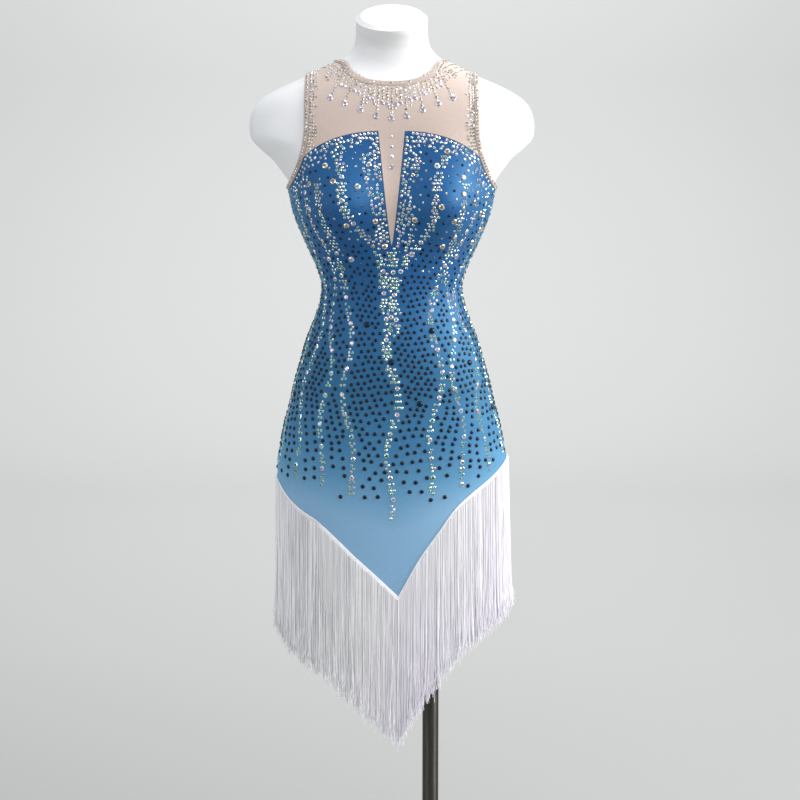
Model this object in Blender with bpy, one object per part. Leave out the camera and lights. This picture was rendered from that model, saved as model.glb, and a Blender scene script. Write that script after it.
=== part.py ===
"""Sleeveless fringe dress worn by a limbless dress form that stands on a pole and a round base.

Every cloth piece is a wall cut from one smooth body shape: a point of the dress is an angle round the
body and a height above the floor, moved out along the body's surface. Lengths below are millimetres,
and the meshes are made in metres. The dress faces -Y, +X is the wearer's left and +Z is up.
"""

import math
from collections import namedtuple

import bmesh
import bpy
import numpy as np
from mathutils import Matrix

MM = 0.001

# Body: oval rings from the form's flat underside to the edge of its neck cap
Section = namedtuple("Section", "height half_width front back squareness lean")
SECTIONS = (
    Section(735, 98, 56, 66, 2.10, 0),
    Section(738, 112, 68, 80, 2.10, 0),
    Section(746, 128, 78, 92, 2.15, 0),
    Section(760, 143, 86, 102, 2.20, 0),
    Section(780, 156, 93, 110, 2.25, 0),
    Section(800, 163, 98, 114, 2.30, 0),
    Section(814, 165, 100, 116, 2.30, 0),
    Section(843, 159.5, 101, 119, 2.30, 0),
    Section(873, 153.5, 100, 119, 2.30, 0),
    Section(902, 145.5, 98, 116, 2.30, 0),
    Section(931, 139, 97, 110, 2.30, 0),
    Section(960, 130.5, 95, 101, 2.30, 0),
    Section(990, 122, 91, 92, 2.25, 0),
    Section(1019, 110.5, 86, 82, 2.20, 0),
    Section(1047, 101.5, 81, 75, 2.20, 0),
    Section(1069, 98.8, 79, 72, 2.20, 0),
    Section(1091, 104.5, 80, 72, 2.20, 0),
    Section(1119, 116.5, 83, 74, 2.20, 0),
    Section(1148, 129.5, 86, 78, 2.25, 0),
    Section(1176, 140, 87, 83, 2.25, 0),
    Section(1205, 146, 85, 88, 2.30, 0),
    Section(1219, 150, 83, 89, 2.30, 0),
    Section(1233, 160, 81, 90, 2.35, 0),
    Section(1247, 171, 80, 90, 2.40, 0),
    Section(1261, 187, 79, 89, 2.40, 0),
    Section(1275, 200, 78, 88, 2.45, 0),
    Section(1290, 203.5, 77, 86, 2.45, 0),
    Section(1304, 202.5, 75, 83, 2.45, 0),
    Section(1318, 198.5, 72, 80, 2.40, 0),
    Section(1332, 188, 68, 77, 2.35, 1),
    Section(1346, 166, 63, 72, 2.25, 3),
    Section(1360, 135, 57, 66, 2.15, 6),
    Section(1373, 104, 52, 60, 2.05, 9),
    Section(1387, 75, 47, 53, 2.00, 10),
    Section(1401, 58.5, 44.5, 48, 2.00, 8),
    Section(1420, 51.8, 45, 46, 2.00, 2),
    Section(1440, 51, 49, 49, 2.00, -6),
    Section(1446, 50, 48, 48, 2.00, -8),
    Section(1448, 46, 44, 44, 2.00, -9),
)
FORM_SIDES, FORM_CROWDING = 40, 0.22
FORM_FINE_HEIGHTS = (1346, 1401)
NECK_TILT_START, NECK_TILT_END, NECK_TILT = 1400, 1448, 0.43

# Bust cups of the general figure
CUP_OUT, CUP_ACROSS, CUP_HEIGHT = 36, 80, 1188
CUP_SPREAD_ACROSS, CUP_SPREAD_UP, CUP_SPREAD_DOWN = 41, 46, 34

# Cloth walls, measured out from the body
FORM_INSET_HEIGHTS, FORM_INSETS = (735, 760, 1325, 1355), (0, 1.7, 1.7, 0.8)
CLOTH_INNER, CLOTH_OUTER = 0.5, 1.7
BINDING_OUTER = 2.7
SEAM, ARMHOLE_SEAM, NECK_SEAM = 0.45, 0.95, 1.25
HANG_HEIGHT = 814
HANG_BLEND = 30

# Armholes: front-view edge, and the band of binding inside it
SHOULDER_ACROSS = 121
UNDERARM_HEIGHT = 1212
ARMHOLE_FLARE_HEIGHT, ARMHOLE_FLARE_POWER = 1300, 2.2
ARMHOLE_BAND = 6.0

# Neckline and its binding
NECK_SIDE_HEIGHT, NECK_FRONT_DROP, NECK_FRONT_POWER, NECK_BACK_RISE = 1387, 31, 4.8, 5
NECK_BAND_SIDE, NECK_BAND_CENTRE = 3.2, 5.4

# Top edge of the coloured front, and the sheer slit down its middle
BUST_LINE_TOP, BUST_LINE_RISE, BUST_LINE_REACH = 1288, 75, 120
SLIT_HALF_WIDTH, SLIT_TIP_HEIGHT, SLIT_POWER = 19, 1128, 0.8

# Back: scooped top edge of the coloured panel, and the nape opening in the sheer yoke
BACK_SCOOP, BACK_SCOOP_POWER = 62, 1.5
NAPE_OPENING_LOW, NAPE_OPENING_HALF_WIDTH, NAPE_END_HALF_WIDTH = 1262, 2.0, 1.2
BUTTON_ACROSS, BUTTON_RADIUS, BUTTON_THICK, BUTTON_SEGMENTS = 7.0, 3.6, 2.4, 16
LOOP_THREAD_RADIUS, LOOP_CLEARANCE, LOOP_REACH, LOOP_SIDES, LOOP_STEPS = 0.6, 0.4, 10, 6, 20
NAPE_FASTENING_DROP = 3.5

# Hem: how the edge climbs from each point to the side seams
HemRow = namedtuple("HemRow", "reach front_left front_right back")
HEM = (
    HemRow(0.00, 0.00, 0.00, 0.00),
    HemRow(0.20, 0.21, 0.30, 0.25),
    HemRow(0.35, 0.36, 0.475, 0.42),
    HemRow(0.50, 0.52, 0.65, 0.58),
    HemRow(0.65, 0.665, 0.765, 0.71),
    HemRow(0.80, 0.766, 0.855, 0.82),
    HemRow(0.90, 0.86, 0.92, 0.90),
    HemRow(1.00, 1.00, 1.00, 1.00),
)
HEM_CORNER_LEFT, HEM_CORNER_RIGHT = 792, 821
HEM_POINT_FRONT, HEM_POINT_BACK = 634, 640
HEM_POINT_FRONT_ACROSS = 9

# Fringe: a braid over the hem and the locks that hang from it
FRINGE_INNER, FRINGE_OUTER = 2.35, 3.85
FRINGE_BRAID, FRINGE_LAP = 7.0, 2.0
LOCKS_PER_PANEL, LOCK_SHARE = 96, 0.6
LOCK_LENGTH, LOCK_LENGTH_SPREAD, LOCK_TIP = 207, 5.0, 0.55
FRINGE_END_TURN = 0.35

# Stand
POLE_ACROSS, POLE_BEHIND, POLE_RADIUS = 57, 8, 12
GAP = 0.3
BASE_RADIUS, BASE_THICK, BASE_EDGE = 150, 9, 3
COLLAR_OUTER, COLLAR_HEIGHT = 18, 32
FLANGE_OUTER, FLANGE_THICK = 30, 4
ROUND_SEGMENTS = 24

# Grid columns along each stretch of edge, from the side to the middle, and grid rows
UNDERARM_COLUMNS, BUST_LINE_COLUMNS, SLIT_COLUMNS, SCOOP_COLUMNS = 4, 8, 4, 9
SHOULDER_COLUMNS, BACK_YOKE_COLUMNS, YOKE_SLIT_TURN = 2, 11, 81
PANEL_ROWS, YOKE_ROWS, YOKE_ROW_POWER = 20, 11, 1.9
PANEL_ROW_MARKS = ((0, 0.15, 0.55, 1), (0, 0.24, 0.68, 1))
YOKE_TIP_RISE = 3
NECK_COLUMNS, ARMHOLE_COLUMNS = 54, 36

# Finishes: colour, roughness, metallic
Finish = namedtuple("Finish", "colour roughness metallic")
FINISHES = {
    "blue_stretch": Finish((0.05, 0.22, 0.58), 0.45, 0.0),
    "nude_mesh": Finish((0.72, 0.56, 0.47), 0.7, 0.0),
    "white_fringe": Finish((0.88, 0.87, 0.92), 0.6, 0.0),
    "white_form": Finish((0.9, 0.9, 0.9), 0.4, 0.0),
    "dark_steel": Finish((0.08, 0.08, 0.08), 0.25, 1.0),
    "nude_button": Finish((0.7, 0.54, 0.45), 0.4, 0.0),
}


def smooth_curve(stations, values, at):
    """Values of a smooth curve through a table's column."""
    stations, values = np.asarray(stations, float), np.asarray(values, float)
    at = np.clip(at, stations[0], stations[-1])
    slopes = np.gradient(values, stations)
    low = np.clip(np.searchsorted(stations, at) - 1, 0, len(stations) - 2)
    span = stations[low + 1] - stations[low]
    t = (at - stations[low]) / span
    return (
        (1 + 2 * t) * (1 - t) ** 2 * values[low]
        + t * (1 - t) ** 2 * span * slopes[low]
        + t * t * (3 - 2 * t) * values[low + 1]
        + t * t * (t - 1) * span * slopes[low + 1]
    )


def section(height):
    """Half width, front, back, squareness and lean of the body at a height."""
    stations = [row.height for row in SECTIONS]
    return [
        smooth_curve(stations, [getattr(row, name) for row in SECTIONS], height)
        for name in Section._fields[1:]
    ]


def body_point(angle, height):
    """Points on the body, at angles in radians counted from +X over the back."""
    half_width, front, back, squareness, lean = section(height)
    across, along = np.cos(angle), np.sin(angle)
    x = half_width * np.sign(across) * np.abs(across) ** (2 / squareness)
    depth = np.where(along < 0, front, back)
    y = lean + depth * np.sign(along) * np.abs(along) ** (2 / squareness)
    spread = np.where(height > CUP_HEIGHT, CUP_SPREAD_UP, CUP_SPREAD_DOWN)
    upright = np.exp(-(((height - CUP_HEIGHT) / spread) ** 2) / 2)
    cups = sum(
        np.exp(-(((x - side * CUP_ACROSS) / CUP_SPREAD_ACROSS) ** 2) / 2) for side in (-1, 1)
    )
    y = y - CUP_OUT * cups * upright * np.clip(-1.3 * along, 0, 1)
    lift = np.clip((height - NECK_TILT_START) / (NECK_TILT_END - NECK_TILT_START), 0, 1)
    z = height + NECK_TILT * lift * (y - lean)
    return np.stack([x, y, z + 0 * x], axis=-1)


def outward(angle, height):
    """Unit vectors that point straight out of the body's surface."""
    turn, rise = 0.002, 0.5
    round_it = body_point(angle + turn, height) - body_point(angle - turn, height)
    up_it = body_point(angle, height + rise) - body_point(angle, height - rise)
    normal = np.cross(round_it, up_it)
    return normal / np.linalg.norm(normal, axis=-1, keepdims=True)


def dress_point(angle, height, out):
    """Points over the body by a distance, hanging straight down below the hips."""
    held = np.maximum(height, HANG_HEIGHT)
    normal = outward(angle, held)
    share = np.clip((height - HANG_HEIGHT) / HANG_BLEND, 0, 1)
    normal[..., 2] *= share
    normal /= np.linalg.norm(normal, axis=-1, keepdims=True)
    point = body_point(angle, held) + normal * np.asarray(out)[..., None]
    point[..., 2] += height - held
    return point


def turn_at(x, height):
    """How far round from the side, in degrees, the body's surface is x from its middle."""
    half_width, _, _, squareness, _ = section(height)
    share = np.clip(np.abs(x) / half_width, 0, 1) ** (squareness / 2)
    return np.degrees(np.arccos(share))


def seam_turn(height):
    """Turn that leaves half a seam between a front and a back piece where they meet."""
    _, front, _, squareness, _ = section(height)
    return np.degrees(np.arcsin((SEAM / 2 / front) ** (squareness / 2)))


def front_angle(side, turn):
    """Angle round the body of a turn from the side towards the middle of the front."""
    return np.radians(270 + side * (90 - turn))


def back_angle(side, turn):
    """Angle round the body of a turn from the side towards the middle of the back."""
    return np.radians(90 - side * (90 - turn))


def ridge_height(across):
    """Height at which the top of the shoulder is this far from the middle."""
    heights = np.linspace(NECK_SIDE_HEIGHT + 20, 1320, 400)
    return np.interp(across, section(heights)[0], heights)


def armhole_across(height, inset):
    """How far from the middle the armhole's edge is, seen from the front, inset into the cloth."""
    shoulder, low = SHOULDER_ACROSS - inset, UNDERARM_HEIGHT - inset
    flare = np.clip((ARMHOLE_FLARE_HEIGHT - height) / (ARMHOLE_FLARE_HEIGHT - low), 0, 1)
    return shoulder + (section(low)[0] - shoulder) * flare**ARMHOLE_FLARE_POWER


def armhole_edge(share, inset):
    """Turn and height along the armhole, from the shoulder (0) to the underarm (1)."""
    top, low = ridge_height(SHOULDER_ACROSS - inset), UNDERARM_HEIGHT - inset
    height = (top + low) / 2 + (top - low) / 2 * np.cos(np.pi * share)
    return turn_at(armhole_across(height, inset), height), height


def bust_line(x):
    """Height of the coloured front's top edge at x from the middle."""
    reach = np.clip((np.abs(x) - SLIT_HALF_WIDTH) / BUST_LINE_REACH, 0, 1)
    return BUST_LINE_TOP - BUST_LINE_RISE * (1 - np.sqrt(1 - reach**2))


def find_junction():
    """How far out and how high the bust line meets the armhole binding."""
    heights = np.linspace(UNDERARM_HEIGHT, BUST_LINE_TOP, 2000)
    x = armhole_across(heights, ARMHOLE_BAND + ARMHOLE_SEAM)
    k = int(np.argmin(np.abs(heights - bust_line(x))))
    return x[k], heights[k]


JUNCTION_ACROSS, JUNCTION_HEIGHT = find_junction()


def neckline(turn, front):
    """Height of the neck opening's edge."""
    rise = np.sin(np.radians(turn))
    drop = NECK_FRONT_DROP * rise**NECK_FRONT_POWER
    return NECK_SIDE_HEIGHT - drop if front else NECK_SIDE_HEIGHT + NECK_BACK_RISE * rise**2


def neck_band(turn):
    """Drop of the neck binding's lower edge below the neckline."""
    rise = np.sin(np.radians(turn)) ** NECK_FRONT_POWER
    return NECK_BAND_SIDE + (NECK_BAND_CENTRE - NECK_BAND_SIDE) * rise


def hem_height(side, turn, front):
    """Height of the hem at a turn from the side."""
    half_width, _, _, squareness, _ = section(HANG_HEIGHT)
    across = np.cos(np.radians(turn))
    x = side * half_width * np.sign(across) * np.abs(across) ** (2 / squareness)
    point_across = HEM_POINT_FRONT_ACROSS if front else 0
    on_left = x < point_across
    span = half_width + np.where(on_left, point_across, -point_across)
    reach = np.abs(x - point_across) / span
    corner = np.where(on_left, HEM_CORNER_LEFT, HEM_CORNER_RIGHT)
    reaches = [row.reach for row in HEM]
    if front:
        left = smooth_curve(reaches, [row.front_left for row in HEM], reach)
        right = smooth_curve(reaches, [row.front_right for row in HEM], reach)
        return HEM_POINT_FRONT + (corner - HEM_POINT_FRONT) * np.where(on_left, left, right)
    climb = smooth_curve(reaches, [row.back for row in HEM], reach)
    return HEM_POINT_BACK + (corner - HEM_POINT_BACK) * climb


def at_column(share, values):
    """Value at a share of the way through a list with one entry per column edge."""
    return np.interp(share * (len(values) - 1), np.arange(len(values)), values)


def mix(low, high, share):
    return low + (high - low) * share


def bust_line_marks():
    """How far out and how high the bust line's marks are, from the armhole to the slit."""
    reach = (JUNCTION_ACROSS - SLIT_HALF_WIDTH) / BUST_LINE_REACH
    swing = np.linspace(math.asin(reach), 0, BUST_LINE_COLUMNS + 1)
    x = SLIT_HALF_WIDTH + BUST_LINE_REACH * np.sin(swing)
    return x, bust_line(x)


def slit_marks():
    """How far out and how high the slit's marks are, from its top corner to its tip."""
    fall = np.linspace(1, 0, SLIT_COLUMNS + 1)
    return SLIT_HALF_WIDTH * fall**SLIT_POWER, mix(SLIT_TIP_HEIGHT, BUST_LINE_TOP, fall)


def underarm_marks(ending):
    """Turn and height of the marks from the side seam to where the armhole binding is left."""
    low = UNDERARM_HEIGHT - ARMHOLE_BAND - ARMHOLE_SEAM
    height = mix(low, ending, np.linspace(0, 1, UNDERARM_COLUMNS + 1) ** 1.6)
    turn = turn_at(armhole_across(height, ARMHOLE_BAND + ARMHOLE_SEAM), height)
    return np.maximum(turn, seam_turn(low)), height


def both_sides(u):
    """Side (-1 or 1) and share from that side to the middle, for u across a whole panel."""
    side = np.where(u < 0.5, -1, 1)
    return side, np.where(u < 0.5, 2 * u, 2 - 2 * u)


def panel_rows(v):
    """Share of a panel's height for each row: close together over the bust, wide in the skirt."""
    return np.interp(v, PANEL_ROW_MARKS[0], PANEL_ROW_MARKS[1])


def front_panel_spot(u, v):
    """Angle and height on the coloured front, hem to bust line."""
    side, t = both_sides(u)
    arm_turn, arm_height = underarm_marks(JUNCTION_HEIGHT)
    bust_x, bust_height = bust_line_marks()
    slit_x, slit_height = slit_marks()
    turns = [*arm_turn[:-1], *turn_at(bust_x, bust_height)[:-1], *turn_at(slit_x, slit_height)]
    heights = [*arm_height[:-1], *bust_height[:-1], *slit_height]
    top_turn, top_height = at_column(t, turns), at_column(t, heights) - SEAM
    point_turn = 90 - side * (90 - turn_at(HEM_POINT_FRONT_ACROSS, HANG_HEIGHT))
    low_turn = mix(seam_turn(HANG_HEIGHT), point_turn, t)
    rise = panel_rows(v)
    return (
        front_angle(side, mix(low_turn, top_turn, rise)),
        mix(hem_height(side, low_turn, True), top_height, rise),
    )


def back_scoop(x):
    """Height of the coloured back's top edge at x from the middle."""
    share = np.clip(1 - np.abs(x) / JUNCTION_ACROSS, 0, 1)
    return JUNCTION_HEIGHT - BACK_SCOOP * np.sin(share * math.pi / 2) ** BACK_SCOOP_POWER


def back_panel_spot(u, v):
    """Angle and height on the coloured back, hem to scooped top edge."""
    side, t = both_sides(u)
    arm_turn, arm_height = underarm_marks(JUNCTION_HEIGHT)
    scoop_x = np.linspace(JUNCTION_ACROSS, 0, SCOOP_COLUMNS + 1)
    scoop_height = back_scoop(scoop_x)
    turns = [*arm_turn[:-1], *turn_at(scoop_x, scoop_height)]
    heights = [*arm_height[:-1], *scoop_height]
    top_turn, top_height = at_column(t, turns), at_column(t, heights) - SEAM
    low_turn = mix(seam_turn(HANG_HEIGHT), 90, t)
    rise = panel_rows(v)
    return (
        back_angle(side, mix(low_turn, top_turn, rise)),
        mix(hem_height(side, low_turn, False), top_height, rise),
    )


def yoke_top_marks(turn, front):
    """How far out and how high a yoke's top edge is: along the shoulder, then under the binding."""
    height = neckline(turn, front) - neck_band(turn) - NECK_SEAM
    half_width, _, _, squareness, _ = section(height)
    x = half_width * np.abs(np.cos(np.radians(turn))) ** (2 / squareness)
    shoulder = SHOULDER_ACROSS - ARMHOLE_BAND - ARMHOLE_SEAM
    shoulder_x = np.linspace(shoulder, x[0], SHOULDER_COLUMNS + 1)[:-1]
    return [*shoulder_x, *x], [*ridge_height(shoulder_x), *height]


def yoke_spot(t, v, low_marks, high_marks, start, middle):
    """Turn and height on half a yoke, t from the armhole to the middle, v from its low edge up.

    Columns stand upright up to the start height at their foot, and fan out to their heads above it.
    """
    drop = (1 - v) ** YOKE_ROW_POWER
    low_x, low_height = (at_column(t, marks) for marks in low_marks)
    high_x, high_height = (at_column(t, marks) for marks in high_marks)
    height = mix(high_height, low_height, drop)
    outer_height = mix(high_marks[1][0], low_marks[1][0], drop)
    outer_fan = (1 - drop) ** 2 * (1 + 2 * drop)
    outer_x = mix(low_marks[0][0], high_marks[0][0], outer_fan)
    bend = armhole_across(outer_height, ARMHOLE_BAND + ARMHOLE_SEAM) - outer_x
    fan = np.clip((height - start(low_x)) / (high_height - start(low_x)), 0, 1)
    fan = fan * fan * (3 - 2 * fan)
    x = np.maximum(mix(low_x, high_x, fan) + (1 - t) * bend, middle(height))
    x = np.where(t > 0.999, middle(height), x)
    return np.maximum(turn_at(x, height), seam_turn(height)), height


def front_yoke_spot(u, v):
    """Angle and height on the sheer front yoke."""
    side, t = both_sides(u)
    bust_x, bust_height = bust_line_marks()
    slit_x, slit_height = slit_marks()
    slit_x = np.maximum(slit_x - 1.6 * SEAM, 0)
    slit_height[-1] += YOKE_TIP_RISE
    low_x = [*bust_x[:-1], *slit_x]
    low_height = [*(bust_height + SEAM), *slit_height[1:]]
    outer = YOKE_SLIT_TURN * np.linspace(0, 1, BUST_LINE_COLUMNS - SHOULDER_COLUMNS + 1) ** 0.9
    inner = np.linspace(YOKE_SLIT_TURN, 90, SLIT_COLUMNS + 1)
    top = yoke_top_marks(np.append(outer[:-1], inner), True)
    turn, height = yoke_spot(t, v, (low_x, low_height), top, bust_line, np.zeros_like)
    return front_angle(side, turn), height


def nape_half_width(height):
    """Half the space between the back yokes: a seam, opening out below the nape."""
    top = NECK_SIDE_HEIGHT + NECK_BACK_RISE
    share = np.clip((height - NAPE_OPENING_LOW) / (top - NAPE_OPENING_LOW), 0, 1)
    opening = NAPE_OPENING_HALF_WIDTH * np.sin(share * math.pi) ** 0.7
    return SEAM / 2 + opening + (NAPE_END_HALF_WIDTH - SEAM / 2) * share**3


def back_yoke_spot(side):
    """Angle and height on one half of the sheer back yoke."""
    low_x = np.linspace(JUNCTION_ACROSS, 0, BACK_YOKE_COLUMNS + 1)
    low = (low_x, back_scoop(low_x) + SEAM)
    top = yoke_top_marks(np.linspace(0, 90, BACK_YOKE_COLUMNS - SHOULDER_COLUMNS + 1), False)

    def spot(u, v):
        turn, height = yoke_spot(u, v, low, top, back_scoop, nape_half_width)
        return back_angle(side, turn), height

    return spot


def neck_binding_spot(u, v):
    """Angle and height on the neck binding, once round from one nape edge to the other."""
    nape = math.radians(90 - float(turn_at(NAPE_END_HALF_WIDTH, NECK_SIDE_HEIGHT)))
    angle = math.pi / 2 + nape + (2 * math.pi - 2 * nape) * u
    front = np.sin(angle) < 0
    turn = np.degrees(np.arcsin(np.clip(np.abs(np.sin(angle)), 0, 1)))
    top = np.where(front, neckline(turn, True), neckline(turn, False))
    return angle, top - neck_band(turn) * (1 - v)


def armhole_binding_spot(side):
    """Angle and height on an armhole binding, down the front and up the back."""

    def spot(u, v):
        share = np.where(u < 0.5, 2 * u, 2 - 2 * u)
        turn, height = armhole_edge(share, ARMHOLE_BAND * v)
        return np.where(u < 0.5, front_angle(side, turn), back_angle(side, turn)), height

    return spot


def finish_of(name):
    """Material of one named finish."""
    material = bpy.data.materials.get(name) or bpy.data.materials.new(name)
    material.use_nodes = True
    shader = material.node_tree.nodes["Principled BSDF"]
    finish = FINISHES[name]
    shader.inputs["Base Color"].default_value = (*finish.colour, 1)
    shader.inputs["Roughness"].default_value = finish.roughness
    shader.inputs["Metallic"].default_value = finish.metallic
    return material


def add_object(name, bm, finish):
    """Named object of a finished mesh, with its material."""
    bmesh.ops.recalc_face_normals(bm, faces=bm.faces[:])
    if bm.calc_volume(signed=True) < 0:
        bmesh.ops.reverse_faces(bm, faces=bm.faces[:])
    bmesh.ops.triangulate(bm, faces=bm.faces[:], quad_method="SHORT_EDGE")
    mesh = bpy.data.meshes.new(name)
    bm.to_mesh(mesh)
    bm.free()
    mesh.shade_smooth()
    mesh.set_sharp_from_angle(angle=math.radians(40))
    mesh.materials.append(finish_of(finish))
    obj = bpy.data.objects.new(name, mesh)
    bpy.context.scene.collection.objects.link(obj)
    return obj


def grid_shares(vertices):
    """Shares 0 to 1 across and up a grid, of vertices that still lie flat in it."""
    flat = np.array([vertex.co for vertex in vertices])
    return (flat[:, 0] + 1) / 2, (flat[:, 1] + 1) / 2


def put(vertices, points):
    """Moves vertices to points given in millimetres."""
    for vertex, point in zip(vertices, points * MM):
        vertex.co = point


def cloth_wall(columns, rows, spot, inner, outer, closed=False):
    """Closed wall of cloth whose two faces lie at given distances over the body."""
    bm = bmesh.new()
    bmesh.ops.create_grid(bm, x_segments=columns, y_segments=rows, size=1)
    u_layer, v_layer = bm.verts.layers.float.new("u"), bm.verts.layers.float.new("v")
    across, up = grid_shares(bm.verts)
    for vertex, u, v in zip(bm.verts, across, up):
        vertex[u_layer], vertex[v_layer] = u, v
    angle, height = spot(across, up)
    put(bm.verts, dress_point(angle, height, inner))
    if closed:
        bmesh.ops.remove_doubles(bm, verts=bm.verts[:], dist=0.1 * MM)
    made = bmesh.ops.extrude_face_region(bm, geom=bm.faces[:], use_keep_orig=True)
    lifted = [item for item in made["geom"] if isinstance(item, bmesh.types.BMVert)]
    shares = np.array([(vertex[u_layer], vertex[v_layer]) for vertex in lifted])
    angle, height = spot(shares[:, 0], shares[:, 1])
    put(lifted, dress_point(angle, height, outer))
    return bm, u_layer, v_layer


def add_cloth(name, columns, rows, spot, finish, outer=CLOTH_OUTER, closed=False):
    bm = cloth_wall(columns, rows, spot, CLOTH_INNER, outer, closed)[0]
    return add_object(name, bm, finish)


def add_form():
    """The limbless torso, from its flat underside to the neck cap."""
    levels = np.array([row.height for row in SECTIONS], float)
    between = (levels[1:] + levels[:-1]) / 2
    low, high = FORM_FINE_HEIGHTS
    levels = np.sort(np.append(levels, between[(between > low) & (between < high)]))
    bm = bmesh.new()
    bmesh.ops.create_grid(bm, x_segments=FORM_SIDES, y_segments=len(levels) - 1, size=1)
    across, up = grid_shares(bm.verts)
    height = levels[np.rint(up * (len(levels) - 1)).astype(int)]
    angle = 2 * np.pi * across
    angle += FORM_CROWDING * np.sin(2 * angle)
    inset = np.interp(height, FORM_INSET_HEIGHTS, FORM_INSETS)
    put(bm.verts, body_point(angle, height) - inset[:, None] * outward(angle, height))
    bmesh.ops.remove_doubles(bm, verts=bm.verts[:], dist=0.1 * MM)
    rims = [edge for edge in bm.edges if edge.is_boundary]
    bmesh.ops.holes_fill(bm, edges=rims)
    return add_object("form_torso", bm, "white_form")


def hang_angles(start, end, shares):
    """Angles at even shares of the way round the hanging cloth."""
    angles = np.linspace(start, end, 600)
    points = dress_point(angles, np.full_like(angles, HANG_HEIGHT), FRINGE_OUTER)
    steps = np.linalg.norm(np.diff(points, axis=0), axis=1)
    walked = np.concatenate([[0], np.cumsum(steps)])
    return np.interp(shares * walked[-1], walked, angles)


def hem_at(angle, front):
    """Height of the hem at an angle round the body."""
    side = np.where(np.cos(angle) < 0, -1, 1)
    turn = np.degrees(np.arcsin(np.clip(np.abs(np.sin(angle)), 0, 1)))
    return hem_height(side, turn, front)


def add_fringe(name, front, seed):
    """Braid along one panel's hem with its locks, fused at their roots."""
    columns = 2 * LOCKS_PER_PANEL - 1
    first = math.pi if front else 0
    end_turn = math.radians(FRINGE_END_TURN)

    def spot(u, v):
        index = np.rint(u * columns)
        share = (index // 2 + LOCK_SHARE * (index % 2)) / (LOCKS_PER_PANEL - 1 + LOCK_SHARE)
        angle = hang_angles(first + end_turn, first + math.pi - end_turn, share)
        hem = hem_at(angle, front)
        step = 0.01
        climb = (hem_at(angle + step, front) - hem_at(angle - step, front)) / (2 * step)
        reach = body_point(angle, np.full_like(angle, HANG_HEIGHT))
        slope = climb / np.hypot(reach[:, 0], reach[:, 1])
        rise = FRINGE_BRAID * np.sqrt(1 + np.minimum(slope**2, 2.5))
        return angle, hem - FRINGE_LAP + (rise + FRINGE_LAP) * v

    bm, _, v_layer = cloth_wall(columns, 1, spot, FRINGE_INNER, FRINGE_OUTER)
    under = [face for face in bm.faces if all(vertex[v_layer] < 0.5 for vertex in face.verts)]
    under.sort(key=lambda face: math.atan2(*face.calc_center_median().yx) % (2 * math.pi))
    roots = bmesh.ops.extrude_discrete_faces(bm, faces=under[::2])["faces"]
    lengths = np.random.default_rng(seed).normal(LOCK_LENGTH, LOCK_LENGTH_SPREAD, len(roots))
    for face, length in zip(roots, lengths):
        middle = face.calc_center_median()
        for vertex in face.verts:
            vertex.co = middle + (vertex.co - middle) * LOCK_TIP
            vertex.co.z = middle.z - length * MM
    return add_object(name, bm, "white_fringe")


def turned(name, profile, centre, finish):
    """Solid of revolution about an upright axis, from radius and height pairs."""
    bm = bmesh.new()
    points = [bm.verts.new((radius * MM, 0, height * MM)) for radius, height in profile]
    edges = [bm.edges.new(pair) for pair in zip(points, points[1:])]
    if profile[0][0] > 0:
        edges.append(bm.edges.new((points[-1], points[0])))
    bmesh.ops.spin(
        bm, geom=points + edges, cent=(0, 0, 0), axis=(0, 0, 1), angle=2 * math.pi,
        steps=ROUND_SEGMENTS, use_merge=True,
    )
    bmesh.ops.remove_doubles(bm, verts=bm.verts[:], dist=0.01 * MM)
    obj = add_object(name, bm, finish)
    obj.location = (centre[0] * MM, centre[1] * MM, 0)
    return obj


def add_stand():
    """Round base, collar, pole and the flange under the form."""
    pole_at = (POLE_ACROSS, POLE_BEHIND)
    underside = SECTIONS[0].height
    base = [
        (0, 0), (BASE_RADIUS, 0), (BASE_RADIUS, BASE_THICK - BASE_EDGE),
        (BASE_RADIUS - BASE_EDGE, BASE_THICK), (0, BASE_THICK),
    ]
    turned("base_plate", base, (0, 0), "dark_steel")
    bore = POLE_RADIUS + GAP
    foot = BASE_THICK + GAP
    collar = [
        (bore, foot), (COLLAR_OUTER + 6, foot), (COLLAR_OUTER + 6, foot + 4),
        (COLLAR_OUTER, foot + 6), (COLLAR_OUTER, foot + COLLAR_HEIGHT - 2),
        (COLLAR_OUTER - 2, foot + COLLAR_HEIGHT), (bore, foot + COLLAR_HEIGHT),
    ]
    turned("base_collar", collar, pole_at, "dark_steel")
    head = underside - GAP
    pole = [(0, foot), (POLE_RADIUS, foot), (POLE_RADIUS, head), (0, head)]
    turned("stand_pole", pole, pole_at, "dark_steel")
    flange = [
        (bore, head), (FLANGE_OUTER, head), (FLANGE_OUTER, head - FLANGE_THICK),
        (bore + 5, head - FLANGE_THICK - 2), (bore + 4, head - 22), (bore, head - 22),
    ]
    turned("pole_flange", flange, pole_at, "dark_steel")


def nape_point(x, drop, out):
    """Points over the neck binding at the back, x from the middle and a drop below its top edge."""
    height = NECK_SIDE_HEIGHT + NECK_BACK_RISE - drop
    angle = math.pi / 2 - np.sign(x) * np.radians(90 - turn_at(x, height))
    return dress_point(angle, height, BINDING_OUTER + out)


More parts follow.
